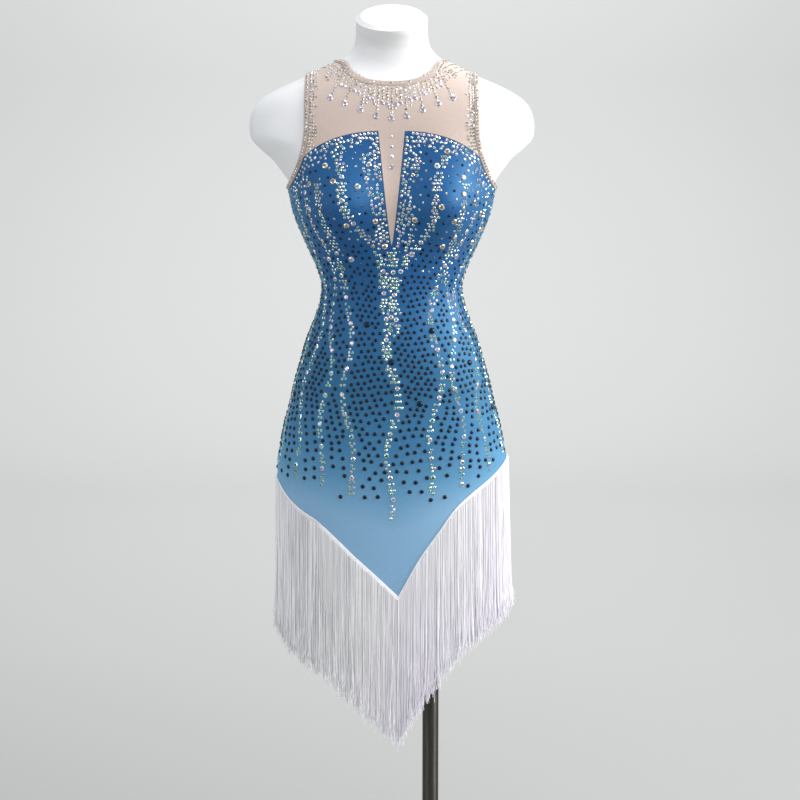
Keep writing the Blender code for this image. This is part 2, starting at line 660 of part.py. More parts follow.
def add_nape_fastening():
    """Button near one end of the neck binding, and the thread loop that reaches it from the other."""
    middle = np.array([NAPE_FASTENING_DROP])
    seat, tip = (nape_point(np.array([BUTTON_ACROSS]), middle, np.array([out])) for out in (GAP, 1))
    normal = (tip - seat)[0] / np.linalg.norm(tip - seat)
    bm = bmesh.new()
    bmesh.ops.create_cone(
        bm, cap_ends=True, segments=BUTTON_SEGMENTS, radius1=BUTTON_RADIUS * MM,
        radius2=0.8 * BUTTON_RADIUS * MM, depth=BUTTON_THICK * MM,
    )
    button = add_object("nape_button", bm, "nude_button")
    button.rotation_euler = (0, math.acos(normal[2]), math.atan2(normal[1], normal[0]))
    button.location = (seat[0] + normal * BUTTON_THICK / 2) * MM

    bm = bmesh.new()
    bmesh.ops.create_circle(bm, segments=LOOP_SIDES, radius=LOOP_THREAD_RADIUS)
    reach = BUTTON_RADIUS + LOOP_CLEARANCE + LOOP_THREAD_RADIUS
    bmesh.ops.rotate(bm, verts=bm.verts[:], matrix=Matrix.Rotation(math.pi / 2, 3, "X"))
    bmesh.ops.translate(bm, verts=bm.verts[:], vec=(reach, 0, 0))
    bmesh.ops.spin(
        bm, geom=bm.verts[:] + bm.edges[:], cent=(0, 0, 0), axis=(0, 0, 1), angle=2 * math.pi,
        steps=LOOP_STEPS, use_merge=True,
    )
    bmesh.ops.remove_doubles(bm, verts=bm.verts[:], dist=0.01)
    flat = np.array([vertex.co for vertex in bm.verts])
    x = flat[:, 0] + BUTTON_ACROSS - np.where(flat[:, 0] < 0, LOOP_REACH, 0)
    out = flat[:, 2] + LOOP_THREAD_RADIUS + GAP
    put(bm.verts, nape_point(x, NAPE_FASTENING_DROP - flat[:, 1], out))
    add_object("nape_loop", bm, "nude_button")


def clear_scene():
    for obj in list(bpy.data.objects):
        bpy.data.objects.remove(obj)


def build():
    clear_scene()
    add_form()
    add_stand()
    front_columns = 2 * (UNDERARM_COLUMNS + BUST_LINE_COLUMNS + SLIT_COLUMNS)
    back_columns = 2 * (UNDERARM_COLUMNS + SCOOP_COLUMNS)
    yoke_columns = 2 * (BUST_LINE_COLUMNS + SLIT_COLUMNS)
    add_cloth("front_panel", front_columns, PANEL_ROWS, front_panel_spot, "blue_stretch")
    add_cloth("back_panel", back_columns, PANEL_ROWS, back_panel_spot, "blue_stretch")
    add_cloth("front_yoke", yoke_columns, YOKE_ROWS, front_yoke_spot, "nude_mesh")
    for side, word in ((-1, "right"), (1, "left")):
        add_cloth(
            f"back_yoke_{word}", BACK_YOKE_COLUMNS, YOKE_ROWS, back_yoke_spot(side), "nude_mesh"
        )
        add_cloth(
            f"armhole_binding_{word}", ARMHOLE_COLUMNS, 1, armhole_binding_spot(side),
            "nude_mesh", BINDING_OUTER, closed=True,
        )
    add_cloth("neck_binding", NECK_COLUMNS, 1, neck_binding_spot, "nude_mesh", BINDING_OUTER)
    add_fringe("fringe_front", True, 1)
    add_fringe("fringe_back", False, 2)
    add_nape_fastening()


build()
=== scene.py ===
"""Fringe dress on its dress form: the finished look of every piece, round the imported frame.

A point of the dress is an angle round the body and a height above the floor, moved out along the
body's surface, as in the part's source. Lengths in the tables are millimetres; meshes are in metres.
"""

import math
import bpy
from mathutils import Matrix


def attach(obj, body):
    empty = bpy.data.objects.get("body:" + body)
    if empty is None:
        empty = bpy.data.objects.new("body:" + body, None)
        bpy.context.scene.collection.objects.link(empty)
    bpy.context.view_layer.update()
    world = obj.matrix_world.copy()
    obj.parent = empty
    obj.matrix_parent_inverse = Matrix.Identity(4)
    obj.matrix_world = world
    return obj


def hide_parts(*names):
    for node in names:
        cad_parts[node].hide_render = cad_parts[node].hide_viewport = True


bl_info = {
    "name": "Fringe dress on a dress form",
    "version": (1, 0, 0),
    "blender": (4, 5, 0),
    "location": "View3D > Sidebar > Fringe dress",
    "description": "Builds the cloth, stones, fringe, form, stand and studio of a stage dress",
    "category": "Object",
}

from collections import namedtuple

import bmesh
import bpy
import numpy as np
from bpy.props import FloatProperty, FloatVectorProperty, IntProperty, PointerProperty
from mathutils import Matrix, Vector

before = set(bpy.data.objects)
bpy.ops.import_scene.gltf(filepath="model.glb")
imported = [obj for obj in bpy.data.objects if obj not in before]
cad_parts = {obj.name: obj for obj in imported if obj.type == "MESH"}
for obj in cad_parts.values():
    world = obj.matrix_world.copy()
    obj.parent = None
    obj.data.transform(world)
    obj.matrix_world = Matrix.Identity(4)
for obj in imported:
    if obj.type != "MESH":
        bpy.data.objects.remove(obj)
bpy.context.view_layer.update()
MM = 0.001
ROOT = "root"

# Body: oval rings from the form's flat underside to the edge of its neck cap
Section = namedtuple("Section", "height half_width front back squareness lean")
SECTIONS = (
    Section(735, 98, 56, 66, 2.10, 0),
    Section(738, 112, 68, 80, 2.10, 0),
    Section(746, 128, 78, 92, 2.15, 0),
    Section(760, 143, 86, 102, 2.20, 0),
    Section(780, 156, 93, 110, 2.25, 0),
    Section(800, 163, 98, 114, 2.30, 0),
    Section(814, 165, 100, 116, 2.30, 0),
    Section(843, 159.5, 101, 119, 2.30, 0),
    Section(873, 153.5, 100, 119, 2.30, 0),
    Section(902, 145.5, 98, 116, 2.30, 0),
    Section(931, 139, 97, 110, 2.30, 0),
    Section(960, 130.5, 95, 101, 2.30, 0),
    Section(990, 122, 91, 92, 2.25, 0),
    Section(1019, 110.5, 86, 82, 2.20, 0),
    Section(1047, 101.5, 81, 75, 2.20, 0),
    Section(1069, 98.8, 79, 72, 2.20, 0),
    Section(1091, 104.5, 80, 72, 2.20, 0),
    Section(1119, 116.5, 83, 74, 2.20, 0),
    Section(1148, 129.5, 86, 78, 2.25, 0),
    Section(1176, 140, 87, 83, 2.25, 0),
    Section(1205, 146, 85, 88, 2.30, 0),
    Section(1219, 150, 83, 89, 2.30, 0),
    Section(1233, 160, 81, 90, 2.35, 0),
    Section(1247, 171, 80, 90, 2.40, 0),
    Section(1261, 187, 79, 89, 2.40, 0),
    Section(1275, 200, 78, 88, 2.45, 0),
    Section(1290, 203.5, 77, 86, 2.45, 0),
    Section(1304, 202.5, 75, 83, 2.45, 0),
    Section(1318, 198.5, 72, 80, 2.40, 0),
    Section(1332, 188, 68, 77, 2.35, 1),
    Section(1346, 166, 63, 72, 2.25, 3),
    Section(1360, 135, 57, 66, 2.15, 6),
    Section(1373, 104, 52, 60, 2.05, 9),
    Section(1387, 75, 47, 53, 2.00, 10),
    Section(1401, 58.5, 44.5, 48, 2.00, 8),
    Section(1420, 51.8, 45, 46, 2.00, 2),
    Section(1440, 51, 49, 49, 2.00, -6),
    Section(1446, 50, 48, 48, 2.00, -8),
    Section(1448, 46, 44, 44, 2.00, -9),
)
NECK_TILT_START, NECK_TILT_END, NECK_TILT = 1400, 1448, 0.43

# Bust cups of the general figure
CUP_OUT, CUP_ACROSS, CUP_HEIGHT, CUP_FACING = 36, 80, 1188, 1.3
CUP_SPREAD_ACROSS, CUP_SPREAD_UP, CUP_SPREAD_DOWN = 41, 46, 34

# Cloth walls, measured out from the body
FORM_INSET_HEIGHTS, FORM_INSETS = (735, 760, 1325, 1355), (0, 1.7, 1.7, 0.8)
CLOTH_INNER, CLOTH_OUTER = 0.5, 1.7
BINDING_OUTER = 2.7
SEAM, ARMHOLE_SEAM, NECK_SEAM = 0.45, 0.95, 1.25
HANG_HEIGHT = 814
HANG_BLEND = 30

# Armholes: front-view edge, and the band of binding inside it
SHOULDER_ACROSS = 121
UNDERARM_HEIGHT = 1212
ARMHOLE_FLARE_HEIGHT, ARMHOLE_FLARE_POWER = 1300, 2.2
ARMHOLE_BAND = 6.0

# Neckline and its binding
NECK_SIDE_HEIGHT, NECK_FRONT_DROP, NECK_FRONT_POWER, NECK_BACK_RISE = 1387, 31, 4.8, 5
NECK_BAND_SIDE, NECK_BAND_CENTRE = 3.2, 5.4

# Top edge of the coloured front, and the sheer slit down its middle
BUST_LINE_TOP, BUST_LINE_RISE, BUST_LINE_REACH = 1288, 75, 120
SLIT_HALF_WIDTH, SLIT_TIP_HEIGHT, SLIT_POWER = 19, 1128, 0.8

# Back: scooped top edge of the coloured panel, and the nape opening in the sheer yoke
BACK_SCOOP, BACK_SCOOP_POWER = 62, 1.5
NAPE_OPENING_LOW, NAPE_OPENING_HALF_WIDTH, NAPE_END_HALF_WIDTH = 1262, 2.0, 1.2
BUTTON_ACROSS, BUTTON_RADIUS = 7.0, 3.6
LOOP_THREAD_RADIUS, LOOP_CLEARANCE, LOOP_REACH = 0.6, 0.4, 10
NAPE_FASTENING_DROP = 3.5

# Hem: how the edge climbs from each point to the side seams
HemRow = namedtuple("HemRow", "reach front_left front_right back")
HEM = (
    HemRow(0.00, 0.00, 0.00, 0.00),
    HemRow(0.20, 0.21, 0.30, 0.25),
    HemRow(0.35, 0.36, 0.475, 0.42),
    HemRow(0.50, 0.52, 0.65, 0.58),
    HemRow(0.65, 0.665, 0.765, 0.71),
    HemRow(0.80, 0.766, 0.855, 0.82),
    HemRow(0.90, 0.86, 0.92, 0.90),
    HemRow(1.00, 1.00, 1.00, 1.00),
)
HEM_CORNER_LEFT, HEM_CORNER_RIGHT = 792, 821
HEM_POINT_FRONT, HEM_POINT_BACK = 634, 640
HEM_POINT_FRONT_ACROSS = 9

# Fringe: a braid over the hem and the locks that hang from it
FRINGE_INNER, FRINGE_OUTER = 2.35, 3.85
FRINGE_BRAID = 7.0
LOCK_LENGTH, LOCK_STRANDS = 207, 7
FRINGE_END_TURN = 0.35

# Stand
POLE_ACROSS, POLE_BEHIND, POLE_RADIUS = 57, 8, 12
GAP = 0.3
BASE_RADIUS, BASE_THICK, BASE_EDGE = 150, 9, 3
COLLAR_OUTER, COLLAR_HEIGHT, COLLAR_ROUND = 18, 32, 2
COLLAR_STEPS = ((6, 0), (6, 4), (2, 6), (0, 9))
FLANGE_OUTER, FLANGE_THICK = 30, 4
FLANGE_RIM = ((-0.5, 0), (0, -0.5), (0, 1 - FLANGE_THICK), (-1, -FLANGE_THICK))
FLANGE_NECK = ((8, -1 - FLANGE_THICK), (5, -4 - FLANGE_THICK), (4, -21), (3, -22), (0, -22))

# Grid columns along each stretch of edge, from the side to the middle, and grid rows
UNDERARM_COLUMNS, BUST_LINE_COLUMNS, SLIT_COLUMNS, SCOOP_COLUMNS = 16, 32, 16, 36
SHOULDER_COLUMNS, BACK_YOKE_COLUMNS, YOKE_SLIT_TURN = 8, 44, 81
PANEL_ROWS, YOKE_ROWS, YOKE_ROW_POWER = 80, 40, 1.9
PANEL_ROW_MARKS = ((0, 0.15, 0.55, 1), (0, 0.24, 0.68, 1))
YOKE_TIP_RISE = 3
NECK_COLUMNS, ARMHOLE_COLUMNS = 216, 180

# How much the knit and the mesh are stretched in area, how much wider than its area alone a cut is
# at least, and the least width of a cut in metres
KNIT_EASE, NET_EASE, CUT_SPARE, NARROWEST_CUT = 1.06, 1.03, 1.01, 0.0102

# Studio, in metres: camera, floor and wall of pale paper, and the painted shade that darkens the paper
# towards the front and lightens it with depth
CAMERA_PLACE = (0.0116, -2.7, 1.3)
SWEEP_START, SWEEP_RADIUS, SWEEP_STEPS = 3.9, 1.5, 12
FLOOR_HALF_WIDTH, FLOOR_FRONT, WALL_TOP = 9, -7, 5
SKY_COLOUR, SKY_STRENGTH = (0.93, 0.96, 1.0, 1), 0.68
PAPER_NEAR, PAPER_FAR = 0.8, 5.4
PAPER_PAINTED_SHADE = ((0, 0.63), (0.23, 0.735), (0.6, 0.84), (1, 0.94))

# Finer rows and rounds that the cloth and the turned pieces are drawn with
FORM_SIDES, FORM_RINGS = 160, 190
NECK_DOME = ((0.985, 0.9), (0.95, 0.8), (0.88, 0.7), (0.75, 0.7), (0.5, 0.6), (0.25, 0.3))
TURNED_SIDES, BUTTON_SIDES, LOOP_SIDES, LOOP_STEPS = 96, 40, 12, 72
CRYSTAL_SIDES, LARGE_SIDES, JET_SIDES, STITCH_SIDES = 8, 10, 8, 6
BINDING_ROWS = 6
BINDING_TUCK = (0.2, 0.1)
BRAID_COLUMNS, BRAID_ROWS = 420, 5
BRAID_WIDTH, BRAID_OVER, BRAID_UNDER, BRAID_STEEPEST, STRIP_CROWN = 5.5, 1.8, 0.2, 2.5, 0.7
STRAND_LAYERS, STRAND_FIRST_OUT, STRAND_LAYER_STEP = 3, 2.0, 1.0
STRAND_SHARES = (0, 0.12, 0.3, 0.5, 0.68, 0.82, 0.92, 0.97, 1)
STRAND_JITTER, STRAND_WAVE, STRAND_CURL, STRAND_TIP_FROM = 0.7, 0.8, 2.2, 0.85
STRAND_SWAY, LOCK_SWAY = 1.1, 1.4
STRAND_LIFT, STRAND_LIFT_ASIDE, STRAND_LIFT_SPREAD = 2.5, 2, 1.4
STRAY_SHARE, STRAY_SWAY, STRAY_LIFT = 0.012, 9, 4
STRAND_BEND_POWER, STRAND_LIFT_POWER, STRAND_WAVES = 1.5, 1.3, 6
STRAND_TAPER = ((0, 0.9, 1), (1, 1, 0.6))

# Dye: heights at which the knit's colours stand, its slow drift, its rise towards the sides of the
# skirt, and the knit's loops
DYE_HEIGHTS = (634, 730, 790, 850, 930, 1050, 1290)
DYE_DRIFT, DYE_RISE, DYE_RISE_FROM, DYE_RISE_FULL = 26, 0.3, 900, 770
KNIT_WALE, KNIT_COURSE = 0.55, 0.42
NET_PITCH = 0.9

# Stones: radius and height in millimetres over radius, colour of the crown, and a darker colour on the
# table that is a painted reflection
StoneKind = namedtuple("StoneKind", "radius tallness colour table")
STONE_KINDS = {
    "crystal": StoneKind(2.05, 1.0, (0.93, 0.93, 0.94), (0.30, 0.32, 0.36)),
    "silver": StoneKind(1.7, 1.0, (0.66, 0.63, 0.58), (0.22, 0.20, 0.19)),
    "aurora": StoneKind(2.15, 1.0, (0.72, 0.95, 0.72), (0.04, 0.14, 0.22)),
    "champagne": StoneKind(1.7, 1.0, (0.94, 0.83, 0.66), (0.30, 0.20, 0.11)),
    "champagne_pale": StoneKind(1.65, 1.0, (0.78, 0.73, 0.62), (0.36, 0.32, 0.26)),
    "rose": StoneKind(2.05, 1.0, (0.94, 0.82, 0.90), (0.50, 0.38, 0.48)),
    "rose_drop": StoneKind(3.0, 0.8, (0.88, 0.80, 0.87), (0.46, 0.36, 0.46)),
    "smoke": StoneKind(1.6, 1.0, (0.16, 0.18, 0.23), (0.02, 0.03, 0.05)),
    "jet": StoneKind(2.8, 0.7, (0.01, 0.012, 0.02), (0.01, 0.012, 0.02)),
}
CRYSTAL_PROFILE = ((0, 0), (1, 0), (1, 0.16), (0.48, 0.5), (0, 0.5))
LARGE_PROFILE = ((0, 0), (1, 0), (1, 0.12), (0.82, 0.3), (0.5, 0.44), (0, 0.44))
LARGE_RADIUS = 2.9
JET_PROFILE = ((0, 0), (1, 0), (0.93, 0.34), (0.62, 0.68), (0, 0.84))
STITCH_PROFILE = ((0, -0.95), (0.17, -0.8), (0.2, 0), (0.17, 0.8), (0, 0.95))

# Stitches: their pitch, and where their lines run on the bindings, the braid, the panels' top
# edges and the side seams
STITCH_PITCH, STITCH_AHEAD, STITCH_JOIN, STITCH_SINK = 2.6, 0.8, 12, 0.25
BINDING_STITCHES, NECK_STITCHES, NECK_STITCH_END, NECK_STITCH_SINK = (0.12, 0.88), 0.15, 0.004, 0.15
BRAID_STITCHES, BRAID_STITCH_END, BUST_STITCH_DROP, BUST_STITCH_END = 0.82, 0.003, 1.6, 3
SEAM_STITCHES, SEAM_STITCH_LOW, SEAM_STITCH_DROP, SEAM_STITCH_ROWS = (-0.995, 0.995), 830, 12, 200

# Points along the lines that are measured, set with stones and sewn
LINE_POINTS, ARMHOLE_POINTS, STITCH_POINTS, BRAID_POINTS = 600, 700, 900, 1400

# Nape button, and how stones are set
BUTTON_PROFILE = (
    (0, 0), (2.6, 0), (3.2, 0.3), (3.6, 0.9), (3.6, 1.4), (3.3, 1.9), (2.7, 2.2), (2.1, 2.1),
    (1.4, 1.85), (0.7, 1.75), (0, 1.7),
)
STONE_GAP, STONE_SINK, STONE_CELL, TABLE_FLATNESS = 0.25, 0.06, 12, 0.97

# Range of tones from stone to stone, and the painted glints of the facets: a chance from 0 to 1, and
# the brightness that is painted on a facet with it
STONE_TONES = (0.9, 1.05)
FACET_PAINTED_GLINTS = ((0.0, (0.1, 0.12, 0.14)), (0.35, (0.5, 0.52, 0.52)), (0.65, (1, 1, 1)))

# Stones' random play about their places, their margins inside a panel's edges and their least gaps
STONE_PLAY, STREAM_PLAY, STREAM_LANE_PLAY = 0.6, 0.3, 0.25
EDGE_MARGIN, STREAM_MARGIN, FIELD_MARGIN, STITCH_MARGIN = 2.4, 2.6, 3, 1
CLOSE_GAP, STREAM_GAP, FIELD_GAP, SINGLE_GAP, SCATTER_GAP = 0.05, 0.1, 0.6, 1.0, 0.35

# Stone layout rules, and the seeds that fix each bed's random draws
BED_SEEDS, FIRST_SEAT_SEED = {"front": 11, "back": 12, "top": 13}, 20
EDGE_MIX = {"crystal": 0.74, "aurora": 0.14, "rose": 0.06, "champagne": 0.06}
EDGE_ROW_SHARES = (0.95, 0.9, 0.72, 0.42, 0.2)
EDGE_FIRST, EDGE_STEP, EDGE_PITCH = 3.2, 4.9, 5.2
UPPER_STREAM_MIX = {"crystal": 0.5, "aurora": 0.4, "rose": 0.1}
STREAM_MIX = {"aurora": 0.72, "crystal": 0.22, "rose": 0.06}
BIG_MIX = {"champagne": 0.5, "crystal": 0.35, "rose": 0.15}
LOW_BIG_MIX = {"crystal": 0.5, "aurora": 0.25, "rose": 0.25}
BIG_SCALE = 1.75
NECK_MIX = {"silver": 0.4, "champagne_pale": 0.35, "crystal": 0.25}
UPPER_MIX = {"smoke": 0.5, "champagne": 0.3, "silver": 0.2}
Stream = namedtuple("Stream", "top top_share low low_share lanes low_lanes")
STREAMS = (
    Stream(1130, 0.00, 745, 0.00, 3.4, 1.4),
    Stream(1262, 0.34, 1005, 0.03, 3.0, 2.4),
    Stream(1255, 0.16, 1060, 0.06, 2.4, 2.0),
    Stream(1215, 0.50, 782, 0.26, 3.0, 1.5),
    Stream(1240, 0.62, 790, 0.46, 2.2, 1.4),
    Stream(1215, 0.76, 800, 0.66, 2.6, 1.4),
    Stream(1200, 0.92, 812, 0.86, 2.0, 1.4),
)
STREAM_WANDER, STREAM_WAVE = 0.05, 26
STREAM_LANE, STREAM_STEP, STREAM_BIG_EVERY, STREAM_BIG_PLAY = 5.2, 4.5, 30, (0.8, 1.3)
STREAM_ASIDE, STREAM_UPPER_RISE = 0.25, 60
WAIST_HEIGHT, HIP_HEIGHT = 1069, 860
Singles = namedtuple("Singles", "blend low high count apart radius")
SINGLES = (
    Singles(BIG_MIX, WAIST_HEIGHT + 40, BUST_LINE_TOP - 12, 28, 22, 4.3),
    Singles({"jet": 1.0}, HIP_HEIGHT + 30, WAIST_HEIGHT - 30, 8, 45, 4.6),
)
SINGLE_TRIES, SINGLE_REACH, SINGLE_MARGIN = 30, 0.85, 7
FIELD_HEIGHTS = (757, 800, 850, 920, 1060, 1110, 1160, 1290)
FIELD_PITCHES = (20, 16.5, 12.5, 9.5, 9.1, 9.8, 11.4, 12.5)
FIELD_LIMIT, FIELD_LIMIT_SLOPE, FIELD_FADE = 757, 0.27, 50
FIELD_DROP, FIELD_ROW, FIELD_LEAST = 10, 0.86, 0.55
FIELD_SLIP, FIELD_WAVE, FIELD_WAVES_ROUND, FIELD_WAVE_RISE = 0.08, 4.0, 9, 35
JET_GROWTH = ((800, 900, 1060, 1200), (1.12, 1.0, 0.88, 0.78))
JET_SHARE = ((1060, 1110, 1180, 1290), (1.0, 0.85, 0.35, 0.2))
NECK_ROWS = (
    (2.4, 2.65, 1.0, 2), (7.6, 1.7, 1.0, 2), (11.4, 1.7, 0.9, 0.4), (15.2, 1.7, 0.6, 0.2),
    (19.0, 1.7, 0.3, 0.1),
)
NECK_ROW_COUNT = 84
RAY_COUNT, RAY_SPREAD, RAY_LENGTH, RAY_LEAN, RAY_BEND = 25, 52, (50, 57), 27, 1.3
RAY_FIRST, RAY_LAST, RAY_STEP, RAY_RADII = 11.0, 5.6, 4.4, (1.7, 2.3)
RAY_GROWTH, SHORT_RAY, RAY_DROPS, RAY_DROP_STRETCH = 1.6, 0.62, (3.9, 3.0), 1.25
RAY_LONG_EVERY, NAPE_STONE_CLEAR, NECK_ROW_RADII = 3, 4, (1.5, 1.9)
NECK_SCATTER, SCATTER_SPREAD, SCATTER_DEPTHS, SCATTER_RADII = 900, 1.4, (8.5, 10, 40), (1.4, 2.1)
ARMHOLE_INSETS, ARMHOLE_PITCH = (8.8, 12.8, 16.8), 4.7
ARMHOLE_KEEP, ARMHOLE_RADII, ARMHOLE_NET_RADII = (1.0, 0.9, 0.45), (1.6, 2.0), (1.6, 2.05)
SLIT_FIRST, SLIT_STEP = 7, 14
SLIT_STONES = (
    (1.7, "crystal", 1), (2.0, "silver", 1), (2.8, "rose", 1), (3.6, "rose_drop", 1.2),
)


def curve_through(stations, values, slopes, at):
    """Values at places on the smooth curve through a table's rows, one column or several."""
    at = np.clip(np.asarray(at, float), stations[0], stations[-1])
    low = np.clip(np.searchsorted(stations, at) - 1, 0, len(stations) - 2)
    span = stations[low + 1] - stations[low]
    t = (at - stations[low]) / span
    if values.ndim > 1:
        t, span = t[..., None], span[..., None]
    return (
        (1 + 2 * t) * (1 - t) ** 2 * values[low]
        + t * (1 - t) ** 2 * span * slopes[low]
        + t * t * (3 - 2 * t) * values[low + 1]
        + t * t * (t - 1) * span * slopes[low + 1]
    )


def smooth_curve(stations, values, at):
    """Values of a smooth curve through a table's column."""
    stations, values = np.asarray(stations, float), np.asarray(values, float)
    return curve_through(stations, values, np.gradient(values, stations), at)


SECTION_HEIGHTS = np.array([row.height for row in SECTIONS], float)
SECTION_VALUES = np.array([row[1:] for row in SECTIONS], float)
SECTION_SLOPES = np.gradient(SECTION_VALUES, SECTION_HEIGHTS, axis=0)


def section(height):
    """Half width, front, back, squareness and lean of the body at a height."""
    values = curve_through(SECTION_HEIGHTS, SECTION_VALUES, SECTION_SLOPES, height)
    return np.moveaxis(values, -1, 0)


def body_point(angle, height):
    """Points on the body, at angles in radians counted from +X over the back."""
    half_width, front, back, squareness, lean = section(height)
    across, along = np.cos(angle), np.sin(angle)
    x = half_width * np.sign(across) * np.abs(across) ** (2 / squareness)
    depth = np.where(along < 0, front, back)
    y = lean + depth * np.sign(along) * np.abs(along) ** (2 / squareness)
    spread = np.where(height > CUP_HEIGHT, CUP_SPREAD_UP, CUP_SPREAD_DOWN)
    upright = np.exp(-(((height - CUP_HEIGHT) / spread) ** 2) / 2)
    cups = sum(
        np.exp(-(((x - side * CUP_ACROSS) / CUP_SPREAD_ACROSS) ** 2) / 2) for side in (-1, 1)
    )
    y = y - CUP_OUT * cups * upright * np.clip(-CUP_FACING * along, 0, 1)
    lift = np.clip((height - NECK_TILT_START) / (NECK_TILT_END - NECK_TILT_START), 0, 1)
    z = height + NECK_TILT * lift * (y - lean)
    return np.stack([x, y, z + 0 * x], axis=-1)


def outward(angle, height):
    """Unit vectors that point straight out of the body's surface."""
    turn, rise = 0.002, 0.5
    round_it = body_point(angle + turn, height) - body_point(angle - turn, height)
    up_it = body_point(angle, height + rise) - body_point(angle, height - rise)
    normal = np.cross(round_it, up_it)
    return normal / np.linalg.norm(normal, axis=-1, keepdims=True)


def dress_point(angle, height, out):
    """Points over the body by a distance, hanging straight down below the hips."""
    held = np.maximum(height, HANG_HEIGHT)
    normal = outward(angle, held)
    share = np.clip((height - HANG_HEIGHT) / HANG_BLEND, 0, 1)
    normal[..., 2] *= share
    normal /= np.linalg.norm(normal, axis=-1, keepdims=True)
    point = body_point(angle, held) + normal * np.asarray(out)[..., None]
    point[..., 2] += height - held
    return point


def walked_to(points):
    """Distance along a line of points to each of them."""
    steps = np.linalg.norm(np.diff(points, axis=0), axis=1)
    return np.concatenate([[0], np.cumsum(steps)])


def turn_at(x, height):
    """How far round from the side, in degrees, the body's surface is x from its middle."""
    half_width, _, _, squareness, _ = section(height)
    share = np.clip(np.abs(x) / half_width, 0, 1) ** (squareness / 2)
    return np.degrees(np.arccos(share))


def seam_turn(height):
    """Turn that leaves half a seam between a front and a back piece where they meet."""
    _, front, _, squareness, _ = section(height)
    return np.degrees(np.arcsin((SEAM / 2 / front) ** (squareness / 2)))


def front_angle(side, turn):
    """Angle round the body of a turn from the side towards the middle of the front."""
    return np.radians(270 + side * (90 - turn))


def back_angle(side, turn):
    """Angle round the body of a turn from the side towards the middle of the back."""
    return np.radians(90 - side * (90 - turn))


def facing_angle(front, side, turn):
    """Angle round the body of a turn from the side, over the front or the back."""
    return front_angle(side, turn) if front else back_angle(side, turn)


def ridge_height(across):
    """Height at which the top of the shoulder is this far from the middle."""
    heights = np.linspace(NECK_SIDE_HEIGHT + 20, 1320, 400)
    return np.interp(across, section(heights)[0], heights)


def armhole_across(height, inset):
    """How far from the middle the armhole's edge is, seen from the front, inset into the cloth."""
    shoulder, low = SHOULDER_ACROSS - inset, UNDERARM_HEIGHT - inset
    flare = np.clip((ARMHOLE_FLARE_HEIGHT - height) / (ARMHOLE_FLARE_HEIGHT - low), 0, 1)
    return shoulder + (section(low)[0] - shoulder) * flare**ARMHOLE_FLARE_POWER


def cloth_across(height):
    """How far from the middle the cloth ends at the armhole, a seam inside its binding."""
    return armhole_across(height, ARMHOLE_BAND + ARMHOLE_SEAM)


def armhole_edge(share, inset):
    """Turn and height along the armhole, from the shoulder (0) to the underarm (1)."""
    top, low = ridge_height(SHOULDER_ACROSS - inset), UNDERARM_HEIGHT - inset
    height = (top + low) / 2 + (top - low) / 2 * np.cos(np.pi * share)
    return turn_at(armhole_across(height, inset), height), height


def bust_line(x):
    """Height of the coloured front's top edge at x from the middle."""
    reach = np.clip((np.abs(x) - SLIT_HALF_WIDTH) / BUST_LINE_REACH, 0, 1)
    return BUST_LINE_TOP - BUST_LINE_RISE * (1 - np.sqrt(1 - reach**2))


def find_junction():
    """How far out and how high the bust line meets the armhole binding."""
    heights = np.linspace(UNDERARM_HEIGHT, BUST_LINE_TOP, 2000)
    x = cloth_across(heights)
    k = int(np.argmin(np.abs(heights - bust_line(x))))
    return x[k], heights[k]


JUNCTION_ACROSS, JUNCTION_HEIGHT = find_junction()


def neckline(turn, front):
    """Height of the neck opening's edge."""
    rise = np.sin(np.radians(turn))
    drop = NECK_FRONT_DROP * rise**NECK_FRONT_POWER
    return NECK_SIDE_HEIGHT - drop if front else NECK_SIDE_HEIGHT + NECK_BACK_RISE * rise**2


def turn_of(angle):
    """Turn from the side, in degrees, of an angle round the body."""
    return np.degrees(np.arcsin(np.clip(np.abs(np.sin(angle)), 0, 1)))


def neck_edge(angle):
    """Height of the neckline at angles round the neck."""
    turn = turn_of(angle)
    return np.where(np.sin(angle) < 0, neckline(turn, True), neckline(turn, False))


def neck_band(turn):
    """Drop of the neck binding's lower edge below the neckline."""
    rise = np.sin(np.radians(turn)) ** NECK_FRONT_POWER
    return NECK_BAND_SIDE + (NECK_BAND_CENTRE - NECK_BAND_SIDE) * rise


def hem_height(side, turn, front):
    """Height of the hem at a turn from the side."""
    half_width, _, _, squareness, _ = section(HANG_HEIGHT)
    across = np.cos(np.radians(turn))
    x = side * half_width * np.sign(across) * np.abs(across) ** (2 / squareness)
    point_across = HEM_POINT_FRONT_ACROSS if front else 0
    on_left = x < point_across
    span = half_width + np.where(on_left, point_across, -point_across)
    reach = np.abs(x - point_across) / span
    corner = np.where(on_left, HEM_CORNER_LEFT, HEM_CORNER_RIGHT)
    reaches = [row.reach for row in HEM]
    if front:
        left = smooth_curve(reaches, [row.front_left for row in HEM], reach)
        right = smooth_curve(reaches, [row.front_right for row in HEM], reach)
        return HEM_POINT_FRONT + (corner - HEM_POINT_FRONT) * np.where(on_left, left, right)
    climb = smooth_curve(reaches, [row.back for row in HEM], reach)
    return HEM_POINT_BACK + (corner - HEM_POINT_BACK) * climb


def at_column(share, values):
    """Value at a share of the way through a list with one entry per column edge."""
    return np.interp(share * (len(values) - 1), np.arange(len(values)), values)


def mix(low, high, share):
    """Value at a share of the way from low to high."""
    return low + (high - low) * share


def bust_line_marks():
    """How far out and how high the bust line's marks are, from the armhole to the slit."""
    reach = (JUNCTION_ACROSS - SLIT_HALF_WIDTH) / BUST_LINE_REACH
    swing = np.linspace(math.asin(reach), 0, BUST_LINE_COLUMNS + 1)
    x = SLIT_HALF_WIDTH + BUST_LINE_REACH * np.sin(swing)
    return x, bust_line(x)


